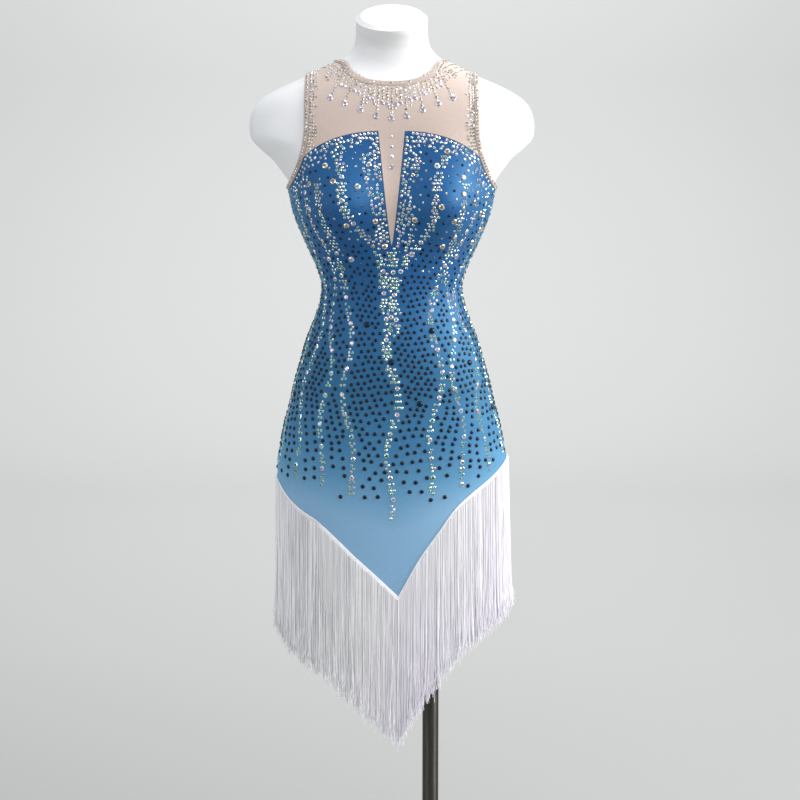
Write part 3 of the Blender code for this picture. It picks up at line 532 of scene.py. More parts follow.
def slit_edge(height):
    """How far from the middle the slit's edge is at a height."""
    climb = np.clip((height - SLIT_TIP_HEIGHT) / (BUST_LINE_TOP - SLIT_TIP_HEIGHT), 0, 1)
    return SLIT_HALF_WIDTH * climb**SLIT_POWER


def slit_marks():
    """How far out and how high the slit's marks are, from its top corner to its tip."""
    fall = np.linspace(1, 0, SLIT_COLUMNS + 1)
    return SLIT_HALF_WIDTH * fall**SLIT_POWER, mix(SLIT_TIP_HEIGHT, BUST_LINE_TOP, fall)


def underarm_marks(ending):
    """Turn and height of the marks from the side seam to where the armhole binding is left."""
    low = UNDERARM_HEIGHT - ARMHOLE_BAND - ARMHOLE_SEAM
    height = mix(low, ending, np.linspace(0, 1, UNDERARM_COLUMNS + 1) ** 1.6)
    turn = turn_at(cloth_across(height), height)
    return np.maximum(turn, seam_turn(low)), height


def both_sides(u):
    """Side (-1 or 1) and share from that side to the middle, for u across a whole panel."""
    side = np.where(u < 0.5, -1, 1)
    return side, np.where(u < 0.5, 2 * u, 2 - 2 * u)


def panel_rows(v):
    """Share of a panel's height for each row: close together over the bust, wide in the skirt."""
    return np.interp(v, PANEL_ROW_MARKS[0], PANEL_ROW_MARKS[1])


def back_scoop(x):
    """Height of the coloured back's top edge at x from the middle."""
    share = np.clip(1 - np.abs(x) / JUNCTION_ACROSS, 0, 1)
    return JUNCTION_HEIGHT - BACK_SCOOP * np.sin(share * math.pi / 2) ** BACK_SCOOP_POWER


def panel_spot(front):
    """Angle and height on a dyed panel, from its hem to the marks of its top edge."""
    if front:
        bust, slit = bust_line_marks(), slit_marks()
        top_x, top_height = (np.append(across[:-1], down) for across, down in zip(bust, slit))
    else:
        top_x = np.linspace(JUNCTION_ACROSS, 0, SCOOP_COLUMNS + 1)
        top_height = back_scoop(top_x)
    arm_turn, arm_height = underarm_marks(JUNCTION_HEIGHT)
    turns = np.append(arm_turn[:-1], turn_at(top_x, top_height))
    heights = np.append(arm_height[:-1], top_height)
    point_turn = turn_at(HEM_POINT_FRONT_ACROSS if front else 0, HANG_HEIGHT)

    def spot(u, v):
        side, t = both_sides(u)
        low_turn = mix(seam_turn(HANG_HEIGHT), 90 - side * (90 - point_turn), t)
        rise = panel_rows(v)
        turn = mix(low_turn, at_column(t, turns), rise)
        low, high = hem_height(side, low_turn, front), at_column(t, heights) - SEAM
        return facing_angle(front, side, turn), mix(low, high, rise)

    return spot


def yoke_top_marks(turn, front):
    """How far out and how high a yoke's top edge is: along the shoulder, then under the binding."""
    height = neckline(turn, front) - neck_band(turn) - NECK_SEAM
    half_width, _, _, squareness, _ = section(height)
    x = half_width * np.abs(np.cos(np.radians(turn))) ** (2 / squareness)
    shoulder = SHOULDER_ACROSS - ARMHOLE_BAND - ARMHOLE_SEAM
    shoulder_x = np.linspace(shoulder, x[0], SHOULDER_COLUMNS + 1)[:-1]
    return [*shoulder_x, *x], [*ridge_height(shoulder_x), *height]


def yoke_spot(t, v, low_marks, high_marks, start, middle):
    """Turn and height on half a yoke, t from the armhole to the middle, v from its low edge up.

    Columns stand upright up to the start height at their foot, and fan out to their heads above it.
    """
    drop = (1 - v) ** YOKE_ROW_POWER
    low_x, low_height = (at_column(t, marks) for marks in low_marks)
    high_x, high_height = (at_column(t, marks) for marks in high_marks)
    height = mix(high_height, low_height, drop)
    outer_height = mix(high_marks[1][0], low_marks[1][0], drop)
    outer_fan = (1 - drop) ** 2 * (1 + 2 * drop)
    outer_x = mix(low_marks[0][0], high_marks[0][0], outer_fan)
    bend = cloth_across(outer_height) - outer_x
    fan = np.clip((height - start(low_x)) / (high_height - start(low_x)), 0, 1)
    fan = fan * fan * (3 - 2 * fan)
    x = np.maximum(mix(low_x, high_x, fan) + (1 - t) * bend, middle(height))
    x = np.where(t > 0.999, middle(height), x)
    return np.maximum(turn_at(x, height), seam_turn(height)), height


def front_yoke_spot(u, v):
    """Angle and height on the sheer front yoke."""
    side, t = both_sides(u)
    bust_x, bust_height = bust_line_marks()
    slit_x, slit_height = slit_marks()
    slit_x = np.maximum(slit_x - 1.6 * SEAM, 0)
    slit_height[-1] += YOKE_TIP_RISE
    low_x = [*bust_x[:-1], *slit_x]
    low_height = [*(bust_height + SEAM), *slit_height[1:]]
    outer = YOKE_SLIT_TURN * np.linspace(0, 1, BUST_LINE_COLUMNS - SHOULDER_COLUMNS + 1) ** 0.9
    inner = np.linspace(YOKE_SLIT_TURN, 90, SLIT_COLUMNS + 1)
    top = yoke_top_marks(np.append(outer[:-1], inner), True)
    turn, height = yoke_spot(t, v, (low_x, low_height), top, bust_line, np.zeros_like)
    return front_angle(side, turn), height


def nape_half_width(height):
    """Half the space between the back yokes: a seam, opening out below the nape."""
    top = NECK_SIDE_HEIGHT + NECK_BACK_RISE
    share = np.clip((height - NAPE_OPENING_LOW) / (top - NAPE_OPENING_LOW), 0, 1)
    opening = NAPE_OPENING_HALF_WIDTH * np.sin(share * math.pi) ** 0.7
    return SEAM / 2 + opening + (NAPE_END_HALF_WIDTH - SEAM / 2) * share**3


def back_yoke_spot(side):
    """Angle and height on one half of the sheer back yoke."""
    low_x = np.linspace(JUNCTION_ACROSS, 0, BACK_YOKE_COLUMNS + 1)
    low = (low_x, back_scoop(low_x) + SEAM)
    top = yoke_top_marks(np.linspace(0, 90, BACK_YOKE_COLUMNS - SHOULDER_COLUMNS + 1), False)

    def spot(u, v):
        turn, height = yoke_spot(u, v, low, top, back_scoop, nape_half_width)
        return back_angle(side, turn), height

    return spot


def neck_binding_spot(u, v):
    """Angle and height on the neck binding, once round from one nape edge to the other."""
    v = mix(-BINDING_TUCK[0], 1, v)
    nape = math.radians(90 - float(turn_at(NAPE_END_HALF_WIDTH, NECK_SIDE_HEIGHT)))
    angle = math.pi / 2 + nape + (2 * math.pi - 2 * nape) * u
    return angle, neck_edge(angle) - neck_band(turn_of(angle)) * (1 - v)


def armhole_binding_spot(side):
    """Angle and height on an armhole binding, down the front and up the back."""

    def spot(u, v):
        share = np.where(u < 0.5, 2 * u, 2 - 2 * u)
        turn, height = armhole_edge(share, ARMHOLE_BAND * mix(0, 1 + BINDING_TUCK[1], v))
        return np.where(u < 0.5, front_angle(side, turn), back_angle(side, turn)), height

    return spot


def hang_angles(front, shares):
    """Angles at even shares of the way along one panel's hem, clear of the side seams."""
    first, end_turn = (math.pi if front else 0), math.radians(FRINGE_END_TURN)
    angles = np.linspace(first + end_turn, first + math.pi - end_turn, LINE_POINTS)
    walked = walked_to(dress_point(angles, np.full_like(angles, HANG_HEIGHT), FRINGE_OUTER))
    return np.interp(shares * walked[-1], walked, angles)


def hem_at(angle, front):
    """Height of the hem at an angle round the body."""
    return hem_height(np.where(np.cos(angle) < 0, -1, 1), turn_of(angle), front)


# How far round the body each angle lies, in metres, for the cloth's own pattern
TABLE_HEIGHTS = np.arange(SECTIONS[0].height, SECTIONS[-1].height + 10, 10.0)
TABLE_ANGLES = np.radians(np.arange(0, 361))


def girth_table():
    """Distance round the body from angle 0, for each height and angle of the table."""
    angles, heights = np.meshgrid(TABLE_ANGLES, TABLE_HEIGHTS)
    steps = np.linalg.norm(np.diff(body_point(angles, heights), axis=1), axis=2)
    return np.pad(np.cumsum(steps, axis=1), ((0, 0), (1, 0)))


GIRTHS = girth_table()


def round_distance(angle, height):
    """Distance round the body, in metres, from angle 0 at a height."""
    row = np.interp(height, TABLE_HEIGHTS, np.arange(len(TABLE_HEIGHTS)))
    column = np.degrees(angle) % 360.0
    low_row = np.minimum(row.astype(int), len(TABLE_HEIGHTS) - 2)
    low_column = np.minimum(column.astype(int), len(TABLE_ANGLES) - 2)
    down, along = row - low_row, column - low_column
    low = mix(GIRTHS[low_row, low_column], GIRTHS[low_row, low_column + 1], along)
    high = mix(GIRTHS[low_row + 1, low_column], GIRTHS[low_row + 1, low_column + 1], along)
    girth = mix(GIRTHS[low_row, -1], GIRTHS[low_row + 1, -1], down)
    whole_turns = np.floor(np.degrees(angle) / 360.0) * girth
    return (mix(low, high, down) + whole_turns) * MM


def pattern_place(angle, height):
    """UV place of cloth: metres round from the middle of the front or back, and metres up."""
    middle = np.full_like(angle, math.pi * (1.5 if np.mean(np.sin(angle)) < 0 else 0.5))
    across = round_distance(angle, height) - round_distance(middle, height)
    return np.stack([across, height * MM], axis=1)


def put(vertices, points):
    """Moves vertices to points given in millimetres."""
    for vertex, point in zip(vertices, points * MM):
        vertex.co = point


def grid_shares(vertices):
    """Shares 0 to 1 across and up a grid, of vertices that still lie flat in it."""
    flat = np.array([vertex.co for vertex in vertices])
    return (flat[:, 0] + 1) / 2, (flat[:, 1] + 1) / 2


def new_object(name, data):
    """Object of some data, linked to the scene."""
    made = bpy.data.objects.new(name, data)
    bpy.context.scene.collection.objects.link(made)
    return made


def place(name, mesh, material, slot, *nodes):
    """New piece of a finished mesh that rides on the dress and stands for CAD nodes."""
    mesh.materials.clear()
    mesh.materials.append(material)
    piece = new_object(name, mesh)
    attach(piece, ROOT)
    if nodes:
        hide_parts(*nodes)
    return piece


def of_kind(made, kind):
    """Items of one kind among what a mesh operator made."""
    return [item for item in made["geom"] if isinstance(item, kind)]


def into_mesh(name, bm):
    """New mesh of a finished shape."""
    mesh = bpy.data.meshes.new(name)
    bm.to_mesh(mesh)
    bm.free()
    return mesh


def face_outwards(bm):
    """Turns the faces of a closed shape outwards."""
    bmesh.ops.recalc_face_normals(bm, faces=bm.faces[:])
    if bm.calc_volume(signed=True) < 0:
        bmesh.ops.reverse_faces(bm, faces=bm.faces[:])


def smooth_up_to(mesh, sharp):
    """Shades a mesh smooth, but for edges sharper than an angle in degrees."""
    mesh.shade_smooth()
    mesh.set_sharp_from_angle(angle=math.radians(sharp))


def closed_mesh(name, bm, sharp=40):
    """Mesh of a closed shape with its faces outwards, smooth up to an angle."""
    face_outwards(bm)
    mesh = into_mesh(name, bm)
    smooth_up_to(mesh, sharp)
    return mesh


def cloth_wall(columns, rows, spot, inner, outer, closed=False):
    """Closed wall of cloth, with how far round and up each point lies as its UV map.

    The outer distance may change with the share up the piece, for a crowned strip.
    """
    bm = bmesh.new()
    bmesh.ops.create_grid(bm, x_segments=columns, y_segments=rows, size=1)
    u_layer, v_layer = bm.verts.layers.float.new("u"), bm.verts.layers.float.new("v")
    across, up = grid_shares(bm.verts)
    for vertex, u, v in zip(bm.verts, across, up):
        vertex[u_layer], vertex[v_layer] = u, v
    angle, height = spot(across, up)
    put(bm.verts, dress_point(angle, height, inner))
    if closed:
        bmesh.ops.remove_doubles(bm, verts=bm.verts[:], dist=0.1 * MM)
    made = bmesh.ops.extrude_face_region(bm, geom=bm.faces[:], use_keep_orig=True)
    lifted = of_kind(made, bmesh.types.BMVert)
    shares = np.array([(vertex[u_layer], vertex[v_layer]) for vertex in lifted])
    angle, height = spot(shares[:, 0], shares[:, 1])
    distance = outer(shares[:, 1]) if callable(outer) else outer
    put(lifted, dress_point(angle, height, distance))
    shares = np.array([(vertex[u_layer], vertex[v_layer]) for vertex in bm.verts])
    angle, height = spot(shares[:, 0], shares[:, 1])
    pattern = pattern_place(angle, height)
    bm.verts.index_update()
    uv_layer = bm.loops.layers.uv.new("cloth")
    for face in bm.faces:
        for loop in face.loops:
            loop[uv_layer].uv = pattern[loop.vert.index]
    return bm


def turned(profile, steps, centre=(0, 0)):
    """Closed shape turned about an upright axis, from radius and height pairs."""
    bm = bmesh.new()
    points = [bm.verts.new((radius * MM, 0, height * MM)) for radius, height in profile]
    edges = [bm.edges.new(pair) for pair in zip(points, points[1:])]
    if profile[0][0] > 0:
        edges.append(bm.edges.new((points[-1], points[0])))
    bmesh.ops.spin(
        bm, geom=points + edges, cent=(0, 0, 0), axis=(0, 0, 1), angle=2 * math.pi,
        steps=steps, use_merge=True,
    )
    bmesh.ops.remove_doubles(bm, verts=bm.verts[:], dist=0.0005 * MM)
    bmesh.ops.translate(bm, verts=bm.verts[:], vec=(centre[0] * MM, centre[1] * MM, 0))
    return bm


def rounded_corner(radius, corner, start, end, steps=4):
    """Round corner of a profile about its centre, from one angle to another in degrees."""
    angles = np.radians(np.linspace(start, end, steps + 1))
    return [(corner[0] + radius * math.cos(a), corner[1] + radius * math.sin(a)) for a in angles]


def stepped(radius, height, steps):
    """Points of a profile, each a step away from one radius and height."""
    return [(radius + out, height + up) for out, up in steps]


def plain_mesh(obj):
    """Mesh of an object as its modifiers or bevel leave it; the object is removed."""
    graph = bpy.context.evaluated_depsgraph_get()
    mesh = bpy.data.meshes.new_from_object(
        obj.evaluated_get(graph), preserve_all_data_layers=True, depsgraph=graph
    )
    bpy.data.objects.remove(obj)
    return mesh


# Places of a mix node's sockets for colours: its factor, its two colours and their blend
MIX_COLOUR_INPUTS, MIX_COLOUR_OUTPUT = (0, 6, 7), 2


def toned(colour, by):
    """A colour made darker or brighter by a factor."""
    return tuple(by * value for value in colour)


class Finish:
    """Material being wired up: its node tree and main shader."""

    def __init__(self, name, **values):
        self.material = bpy.data.materials.new(name)
        self.material.use_nodes = True
        self.tree = self.material.node_tree
        self.shader = self.tree.nodes["Principled BSDF"]
        for name_of, value in values.items():
            self.feed(self.shader.inputs[name_of.replace("_", " ")], value)

    def feed(self, socket, value):
        """Joins a socket to another node's output, or sets it to a value."""
        if isinstance(value, bpy.types.NodeSocket):
            self.tree.links.new(value, socket)
        else:
            socket.default_value = value

    def node(self, kind, **inputs):
        """New node of a kind, with its sockets fed by name."""
        made = self.tree.nodes.new(kind)
        for name, value in inputs.items():
            self.feed(made.inputs[name.replace("_", " ")], value)
        return made

    def attribute(self, name):
        """Reads one of the mesh's own attributes."""
        made = self.node("ShaderNodeAttribute")
        made.attribute_name = name
        return made.outputs

    def math(self, operation, *values):
        """Result of an operation on values or other nodes' outputs."""
        made = self.node("ShaderNodeMath")
        made.operation = operation
        for socket, value in zip(made.inputs, values):
            self.feed(socket, value)
        return made.outputs["Value"]

    def ramp(self, factor, stops):
        """Colour ramp with (place, colour) stops."""
        made = self.node("ShaderNodeValToRGB", Fac=factor)
        elements = made.color_ramp.elements
        while len(elements) < len(stops):
            elements.new(0.5)
        for element, (position, colour) in zip(elements, stops):
            element.position = position
            element.color = (*colour, 1)
        return made.outputs["Color"]

    def mixed(self, factor, low, high, blend="MIX"):
        """Blend of two colours."""
        made = self.node("ShaderNodeMix")
        made.data_type = "RGBA"
        made.blend_type = blend
        for index, value in zip(MIX_COLOUR_INPUTS, (factor, low, high)):
            self.feed(made.inputs[index], value)
        return made.outputs[MIX_COLOUR_OUTPUT]

    def coordinates(self, output="Object", scale=(1, 1, 1), turn=0):
        """Object or UV coordinates, scaled and turned."""
        source = self.node("ShaderNodeTexCoord").outputs[output]
        mapping = self.node("ShaderNodeMapping", Vector=source, Scale=scale, Rotation=(0, 0, turn))
        return mapping.outputs["Vector"]

    def noise(self, vector, scale, detail=3):
        """Soft random patches, 0 to 1."""
        made = self.node("ShaderNodeTexNoise", Vector=vector, Scale=scale, Detail=detail)
        return made.outputs["Fac"]

    def waves(self, vector, pitch, direction="X"):
        """Bands of one pitch, in metres, along X or Y."""
        made = self.node("ShaderNodeTexWave", Vector=vector, Scale=math.pi / 10 / pitch)
        made.bands_direction = direction
        return made.outputs["Fac"]

    def colour(self, socket):
        """Uses a colour as the finish's own."""
        self.tree.links.new(socket, self.shader.inputs["Base Color"])

    def roughness(self, factor, low, high):
        """Spreads a factor from 0 to 1 over a range of roughness."""
        made = self.node("ShaderNodeMapRange", Value=factor, To_Min=low, To_Max=high)
        self.tree.links.new(made.outputs["Result"], self.shader.inputs["Roughness"])

    def bump(self, height, distance, strength=1.0):
        """Fine relief from a height of 0 to 1, over a distance in metres."""
        made = self.node("ShaderNodeBump", Height=height, Distance=distance, Strength=strength)
        self.tree.links.new(made.outputs["Normal"], self.shader.inputs["Normal"])


def knit_finish(colours):
    """Satin stretch knit, dyed from deep blue at the bust to pale blue at the hem."""
    finish = Finish(
        "ombre_knit", Sheen_Weight=1.0, Sheen_Roughness=0.32, Sheen_Tint=(0.16, 0.7, 1, 1),
        Specular_IOR_Level=0.7, Specular_Tint=(0.25, 0.72, 1, 1),
    )
    place_of = finish.coordinates()
    split = finish.node("ShaderNodeSeparateXYZ", Vector=place_of)
    cloud = finish.noise(place_of, 7.0)
    drift = finish.math("MULTIPLY", finish.math("SUBTRACT", cloud, 0.5), DYE_DRIFT * MM)
    low_down = finish.node(
        "ShaderNodeMapRange", Value=split.outputs["Z"],
        From_Min=DYE_RISE_FROM * MM, From_Max=DYE_RISE_FULL * MM,
    )
    aside = finish.math("MULTIPLY", finish.math("ABSOLUTE", split.outputs["X"]), DYE_RISE)
    aside = finish.math("MULTIPLY", aside, low_down.outputs["Result"])
    level = finish.math("SUBTRACT", finish.math("ADD", split.outputs["Z"], drift), aside)
    low, high = DYE_HEIGHTS[0] * MM, DYE_HEIGHTS[-1] * MM
    share = finish.node("ShaderNodeMapRange", Value=level, From_Min=low, From_Max=high)
    places = [(h - DYE_HEIGHTS[0]) / (DYE_HEIGHTS[-1] - DYE_HEIGHTS[0]) for h in DYE_HEIGHTS]
    dyed = finish.ramp(share.outputs["Result"], list(zip(places, colours)))
    pattern = finish.coordinates("UV")
    wales = finish.waves(pattern, KNIT_WALE * MM, "X")
    courses = finish.waves(pattern, KNIT_COURSE * MM, "Y")
    raised = finish.math("ADD", 0.5, finish.math("MULTIPLY", courses, 0.5))
    loops = finish.math("MULTIPLY", wales, raised)
    # Painted shade: the grooves between the knit's loops are drawn darker
    loop_groove_shade = finish.ramp(loops, [(0, (0.84, 0.84, 0.87)), (1, (1, 1, 1))])
    fibre = finish.noise(finish.coordinates("UV", (1, 0.2, 1)), 900.0, 2)
    flecked = finish.ramp(fibre, [(0.3, (0.94, 0.94, 0.95)), (0.7, (1, 1, 1))])
    cloth = finish.mixed(1.0, dyed, loop_groove_shade, "MULTIPLY")
    finish.colour(finish.mixed(1.0, cloth, flecked, "MULTIPLY"))
    finish.roughness(cloud, 0.42, 0.55)
    finish.bump(loops, 0.12 * MM, 0.6)
    return finish.material


def net_finish(thread, hole):
    """Sheer nude mesh over the white form: threads round small holes that show paler."""
    finish = Finish("nude_net", Sheen_Weight=0.2, Specular_IOR_Level=0.25)
    pattern = finish.coordinates("UV", (1, 1, 0))
    cells = finish.node(
        "ShaderNodeTexVoronoi", Vector=pattern, Scale=1000 / NET_PITCH, Randomness=0.25
    )
    net = finish.ramp(cells.outputs["Distance"], [(0.2, hole), (0.45, thread)])
    cloud = finish.noise(finish.coordinates(), 9.0)
    uneven = finish.ramp(cloud, [(0.3, (0.95, 0.95, 0.95)), (0.7, (1, 1, 1))])
    finish.colour(finish.mixed(1.0, net, uneven, "MULTIPLY"))
    finish.roughness(cells.outputs["Distance"], 0.5, 0.7)
    finish.bump(cells.outputs["Distance"], 0.15 * MM, 0.5)
    return finish.material


def binding_finish(colour):
    """Nude knit strip, folded over the cut edges."""
    finish = Finish("nude_binding", Sheen_Weight=0.25, Specular_IOR_Level=0.3)
    pattern = finish.coordinates("UV")
    along, across = (finish.waves(pattern, 0.6 * MM, axis) for axis in "XY")
    ribs = finish.math("MULTIPLY", along, across)
    # Painted shade: the grooves between the ribs are drawn darker
    finish.colour(finish.ramp(ribs, [(0, toned(colour, 0.82)), (1, colour)]))
    finish.roughness(finish.noise(finish.coordinates(), 60.0), 0.5, 0.65)
    finish.bump(ribs, 0.1 * MM, 0.5)
    return finish.material


def form_finish(colour):
    """Painted white torso, with the faint unevenness of a hand-rubbed coat."""
    finish = Finish("painted_form", Coat_Weight=0.25, Coat_Roughness=0.25, Specular_IOR_Level=0.45)
    place_of = finish.coordinates()
    cloud = finish.noise(place_of, 12.0, 4)
    finish.colour(finish.ramp(cloud, [(0.35, toned(colour, 0.95)), (0.6, colour)]))
    finish.roughness(finish.noise(place_of, 40.0), 0.34, 0.46)
    finish.bump(finish.noise(place_of, 350.0, 2), 0.05 * MM, 0.25)
    return finish.material


def steel_finish(colour):
    """Black nickel plate, brightly polished, with a faint grain."""
    finish = Finish("black_nickel", Metallic=1.0, Anisotropic=0.95, Anisotropic_Rotation=0.25)
    grain = finish.noise(finish.coordinates("Object", (300, 300, 20)), 1.0, 2)
    finish.colour(finish.ramp(grain, [(0.4, colour), (0.7, toned(colour, 1.25))]))
    finish.roughness(grain, 0.42, 0.46)
    finish.bump(grain, 0.005 * MM, 0.2)
    return finish.material


def fringe_finish(colour, shade):
    """Twisted rayon threads, each a little lighter or darker than the next, faintly lilac."""
    finish = Finish("rayon_thread", Sheen_Weight=0.3, Sheen_Roughness=0.3, Specular_IOR_Level=0.5)
    strands = finish.noise(finish.coordinates("Object", (1300, 1300, 4)), 1.0, 1)
    tone = finish.ramp(strands, [(0.33, shade), (0.58, colour)])
    drift = finish.noise(finish.coordinates("Object", (5, 5, 1)), 1.0, 1)
    tint = finish.ramp(drift, [(0.4, (1, 1, 0.98)), (0.6, (0.98, 0.95, 1))])
    finish.colour(finish.mixed(1.0, tone, tint, "MULTIPLY"))
    finish.roughness(strands, 0.45, 0.32)
    twist = finish.waves(finish.coordinates(), 1.6 * MM, "Z")
    finish.bump(twist, 0.08 * MM, 0.5)
    return finish.material


def braid_finish(colour, shade):
    """White braid with its threads laid aslant."""
    finish = Finish("white_braid", Sheen_Weight=0.35, Specular_IOR_Level=0.35)
    slant = finish.waves(finish.coordinates("UV", (1, 1, 1), math.radians(35)), 1.3 * MM, "X")
    # Painted shade: the grooves between the slanted threads are drawn in the darker colour
    finish.colour(finish.ramp(slant, [(0, shade), (0.6, colour)]))
    finish.roughness(slant, 0.6, 0.42)
    finish.bump(slant, 0.4 * MM, 0.8)
    return finish.material


def thread_finish(name, colour):
    """Sewing thread, with its twist, whose grooves are painted darker as painted shade."""
    finish = Finish(name, Sheen_Weight=0.3)
    twist = finish.waves(finish.coordinates("Object", (1, 1, 1)), 0.5 * MM, "Z")
    # Painted shade: the twist's grooves are drawn darker, also on the button and the loop
    finish.colour(finish.ramp(twist, [(0, toned(colour, 0.75)), (1, colour)]))
    finish.roughness(twist, 0.6, 0.45)
    finish.bump(twist, 0.05 * MM, 0.5)
    return finish.material


def foil_stone_finish():
    """Foil-backed cut glass: each stone's own colour on its crown with painted glints, its table
    deeper than its bright crown as a painted reflection.
    """
    finish = Finish(
        "foil_stones", Metallic=0.75, Roughness=0.12, Coat_Weight=0.5, Coat_Roughness=0.03
    )
    # Painted glints: each facet gets a random brightness that multiplies the stone's colour on its
    # crown
    facing = finish.node("ShaderNodeNewGeometry").outputs["True Normal"]
    glint_draw = finish.node("ShaderNodeTexWhiteNoise", Vector=facing).outputs["Value"]
    bright = finish.ramp(glint_draw, FACET_PAINTED_GLINTS)
    crown_with_painted_glints = finish.mixed(1.0, finish.attribute("stone_colour")["Color"], bright, "MULTIPLY")
    # The table's darker colour is a painted reflection, drawn on the table faces in place of the crown
    # colour
    table = finish.attribute("table_colour")["Color"]
    finish.colour(finish.mixed(finish.attribute("crown")["Fac"], table, crown_with_painted_glints))
    return finish.material


def jet_stone_finish(colour):
    """Black cut glass."""
    finish = Finish("jet_stones", Specular_IOR_Level=0.26)
    cloud = finish.noise(finish.coordinates(), 220.0, 1)
    finish.colour(finish.ramp(cloud, [(0.35, colour), (0.7, toned(colour, 2.4))]))
    finish.roughness(cloud, 0.08, 0.14)
    return finish.material


def add_form(material):
    """The limbless torso: rings drawn up the body, its neck closed by a low dome."""
    levels = np.linspace(SECTIONS[0].height, SECTIONS[-1].height, FORM_RINGS + 1)
    bm = bmesh.new()
    bmesh.ops.create_grid(bm, x_segments=FORM_SIDES, y_segments=FORM_RINGS, size=1)
    across, up = grid_shares(bm.verts)
    height = levels[np.rint(up * FORM_RINGS).astype(int)]
    angle = 2 * np.pi * across
    inset = np.interp(height, FORM_INSET_HEIGHTS, FORM_INSETS)
    put(bm.verts, body_point(angle, height) - inset[:, None] * outward(angle, height))
    bmesh.ops.remove_doubles(bm, verts=bm.verts[:], dist=0.05 * MM)
    rims = [edge for edge in bm.edges if edge.is_boundary]
    cap = [edge for edge in rims if edge.verts[0].co.z > 1]
    bmesh.ops.holes_fill(bm, edges=[edge for edge in rims if edge.verts[0].co.z < 1])
    middle = sum((edge.verts[0].co for edge in cap), Vector()) / len(cap)
    for shrink, step in NECK_DOME:
        made = bmesh.ops.extrude_edge_only(bm, edges=cap)
        cap = [edge for edge in of_kind(made, bmesh.types.BMEdge) if edge.is_boundary]
        for vertex in of_kind(made, bmesh.types.BMVert):
            vertex.co = middle + (vertex.co - middle) * shrink
            vertex.co.z += step * MM
        middle.z += step * MM
    bmesh.ops.holes_fill(bm, edges=cap)
    return place("form", closed_mesh("form", bm, 60), material, "white_form", "form_torso")


def add_stand(material):
    """Round base, collar, pole and flange, turned finely, with their edges rounded."""
    pole_at = (POLE_ACROSS, POLE_BEHIND)
    bore, foot, head = POLE_RADIUS + GAP, BASE_THICK + GAP, SECTIONS[0].height - GAP
    edge = BASE_RADIUS - BASE_EDGE
    shapes = {
        "base_plate": ((0, 0), [
            (0, 0), (BASE_RADIUS - 1, 0),
            *rounded_corner(BASE_EDGE, (edge, BASE_THICK - BASE_EDGE), 0, 90), (0, BASE_THICK),
        ]),
        "base_collar": (pole_at, [
            (bore, foot), *stepped(COLLAR_OUTER, foot, COLLAR_STEPS),
            *rounded_corner(
                COLLAR_ROUND, (COLLAR_OUTER - COLLAR_ROUND, foot + COLLAR_HEIGHT - COLLAR_ROUND), 0, 90
            ),
            (bore, foot + COLLAR_HEIGHT),
        ]),
        "stand_pole": (pole_at, [
            (0, foot), (POLE_RADIUS, foot), (POLE_RADIUS, head), (0, head),
        ]),
        "pole_flange": (pole_at, [
            (bore, head), *stepped(FLANGE_OUTER, head, FLANGE_RIM), *stepped(bore, head, FLANGE_NECK),
        ]),
    }
    for name, (centre, profile) in shapes.items():
        mesh = closed_mesh(name, turned(profile, TURNED_SIDES, centre), 35)
        place(f"{name}_turned", mesh, material, "dark_steel", name)


def cut_size(piece, ease, run):
    """Flat width, length and area of a closed cloth wall before it was stretched.

    A strip is cut as long as its run; any other piece is as long as it is high.
    """
    area = sum(face.area for face in piece.data.polygons) / 2 / ease
    heights = [vertex.co.z for vertex in piece.data.vertices]
    length = run or max(heights) - min(heights)
    across = sorted(corner.vector.x for corner in piece.data.uv_layers["cloth"].uv)
    width = 0 if run else (across[-1] - across[0]) / ease
    return (max(width, CUT_SPARE * area / length, NARROWEST_CUT), length), area


def strip_line(spot, share, count, end=0.0):
    """Angles and heights along a strip at a share of its width, clear of its ends."""
    u = np.linspace(end, 1 - end, count)
    return spot(u, np.full_like(u, share))


def line_length(spot):
    """Length, in metres, of a strip along its middle."""
    line = dress_point(*strip_line(spot, 0.5, LINE_POINTS), CLOTH_OUTER)
    return float(walked_to(line)[-1]) * MM


def declare_cloth(name, ease, *with_pieces, strip=None):
    """Works out the flat width, length and area of a piece of cloth as cut, and keeps none of them."""
    piece = bpy.data.objects[name]
    flat, area = cut_size(piece, ease, line_length(strip) if strip else None)


def add_panels(material):
    """The two dyed knit panels."""
    front_columns = 2 * (UNDERARM_COLUMNS + BUST_LINE_COLUMNS + SLIT_COLUMNS)
    back_columns = 2 * (UNDERARM_COLUMNS + SCOOP_COLUMNS)
    for name, columns, front in (
        ("front_panel", front_columns, True), ("back_panel", back_columns, False),
    ):
        bm = cloth_wall(columns, PANEL_ROWS, panel_spot(front), CLOTH_INNER, CLOTH_OUTER)
        place(f"{name}_knit", closed_mesh(name, bm), material, "blue_stretch", name)


def add_yokes(material):
    """The sheer front yoke and the two halves of the back one."""
    yoke_columns = 2 * (BUST_LINE_COLUMNS + SLIT_COLUMNS)
    pieces = [("front_yoke", yoke_columns, front_yoke_spot)]
    for side, word in ((-1, "right"), (1, "left")):
        pieces.append((f"back_yoke_{word}", BACK_YOKE_COLUMNS, back_yoke_spot(side)))
    for name, columns, spot in pieces:
        bm = cloth_wall(columns, YOKE_ROWS, spot, CLOTH_INNER, CLOTH_OUTER)
        place(f"{name}_net", closed_mesh(name, bm), material, "nude_mesh", name)


def crowned(outer, drop):
    """Distance over the body of a strip that is highest along its middle."""
    return lambda v: outer - drop * (2 * v - 1) ** 4


def add_bindings(material):
    """Neck and armhole bindings, with rounded folds."""
    over = crowned(BINDING_OUTER, STRIP_CROWN)
    strips = [("neck_binding", NECK_COLUMNS, neck_binding_spot, False)]
    for side, word in ((-1, "right"), (1, "left")):
        strips.append((f"armhole_binding_{word}", ARMHOLE_COLUMNS, armhole_binding_spot(side), True))
    for name, columns, spot, closed in strips:
        bm = cloth_wall(columns, BINDING_ROWS, spot, CLOTH_INNER, over, closed)
        place(f"{name}_strip", closed_mesh(name, bm), material, "nude_mesh", name)


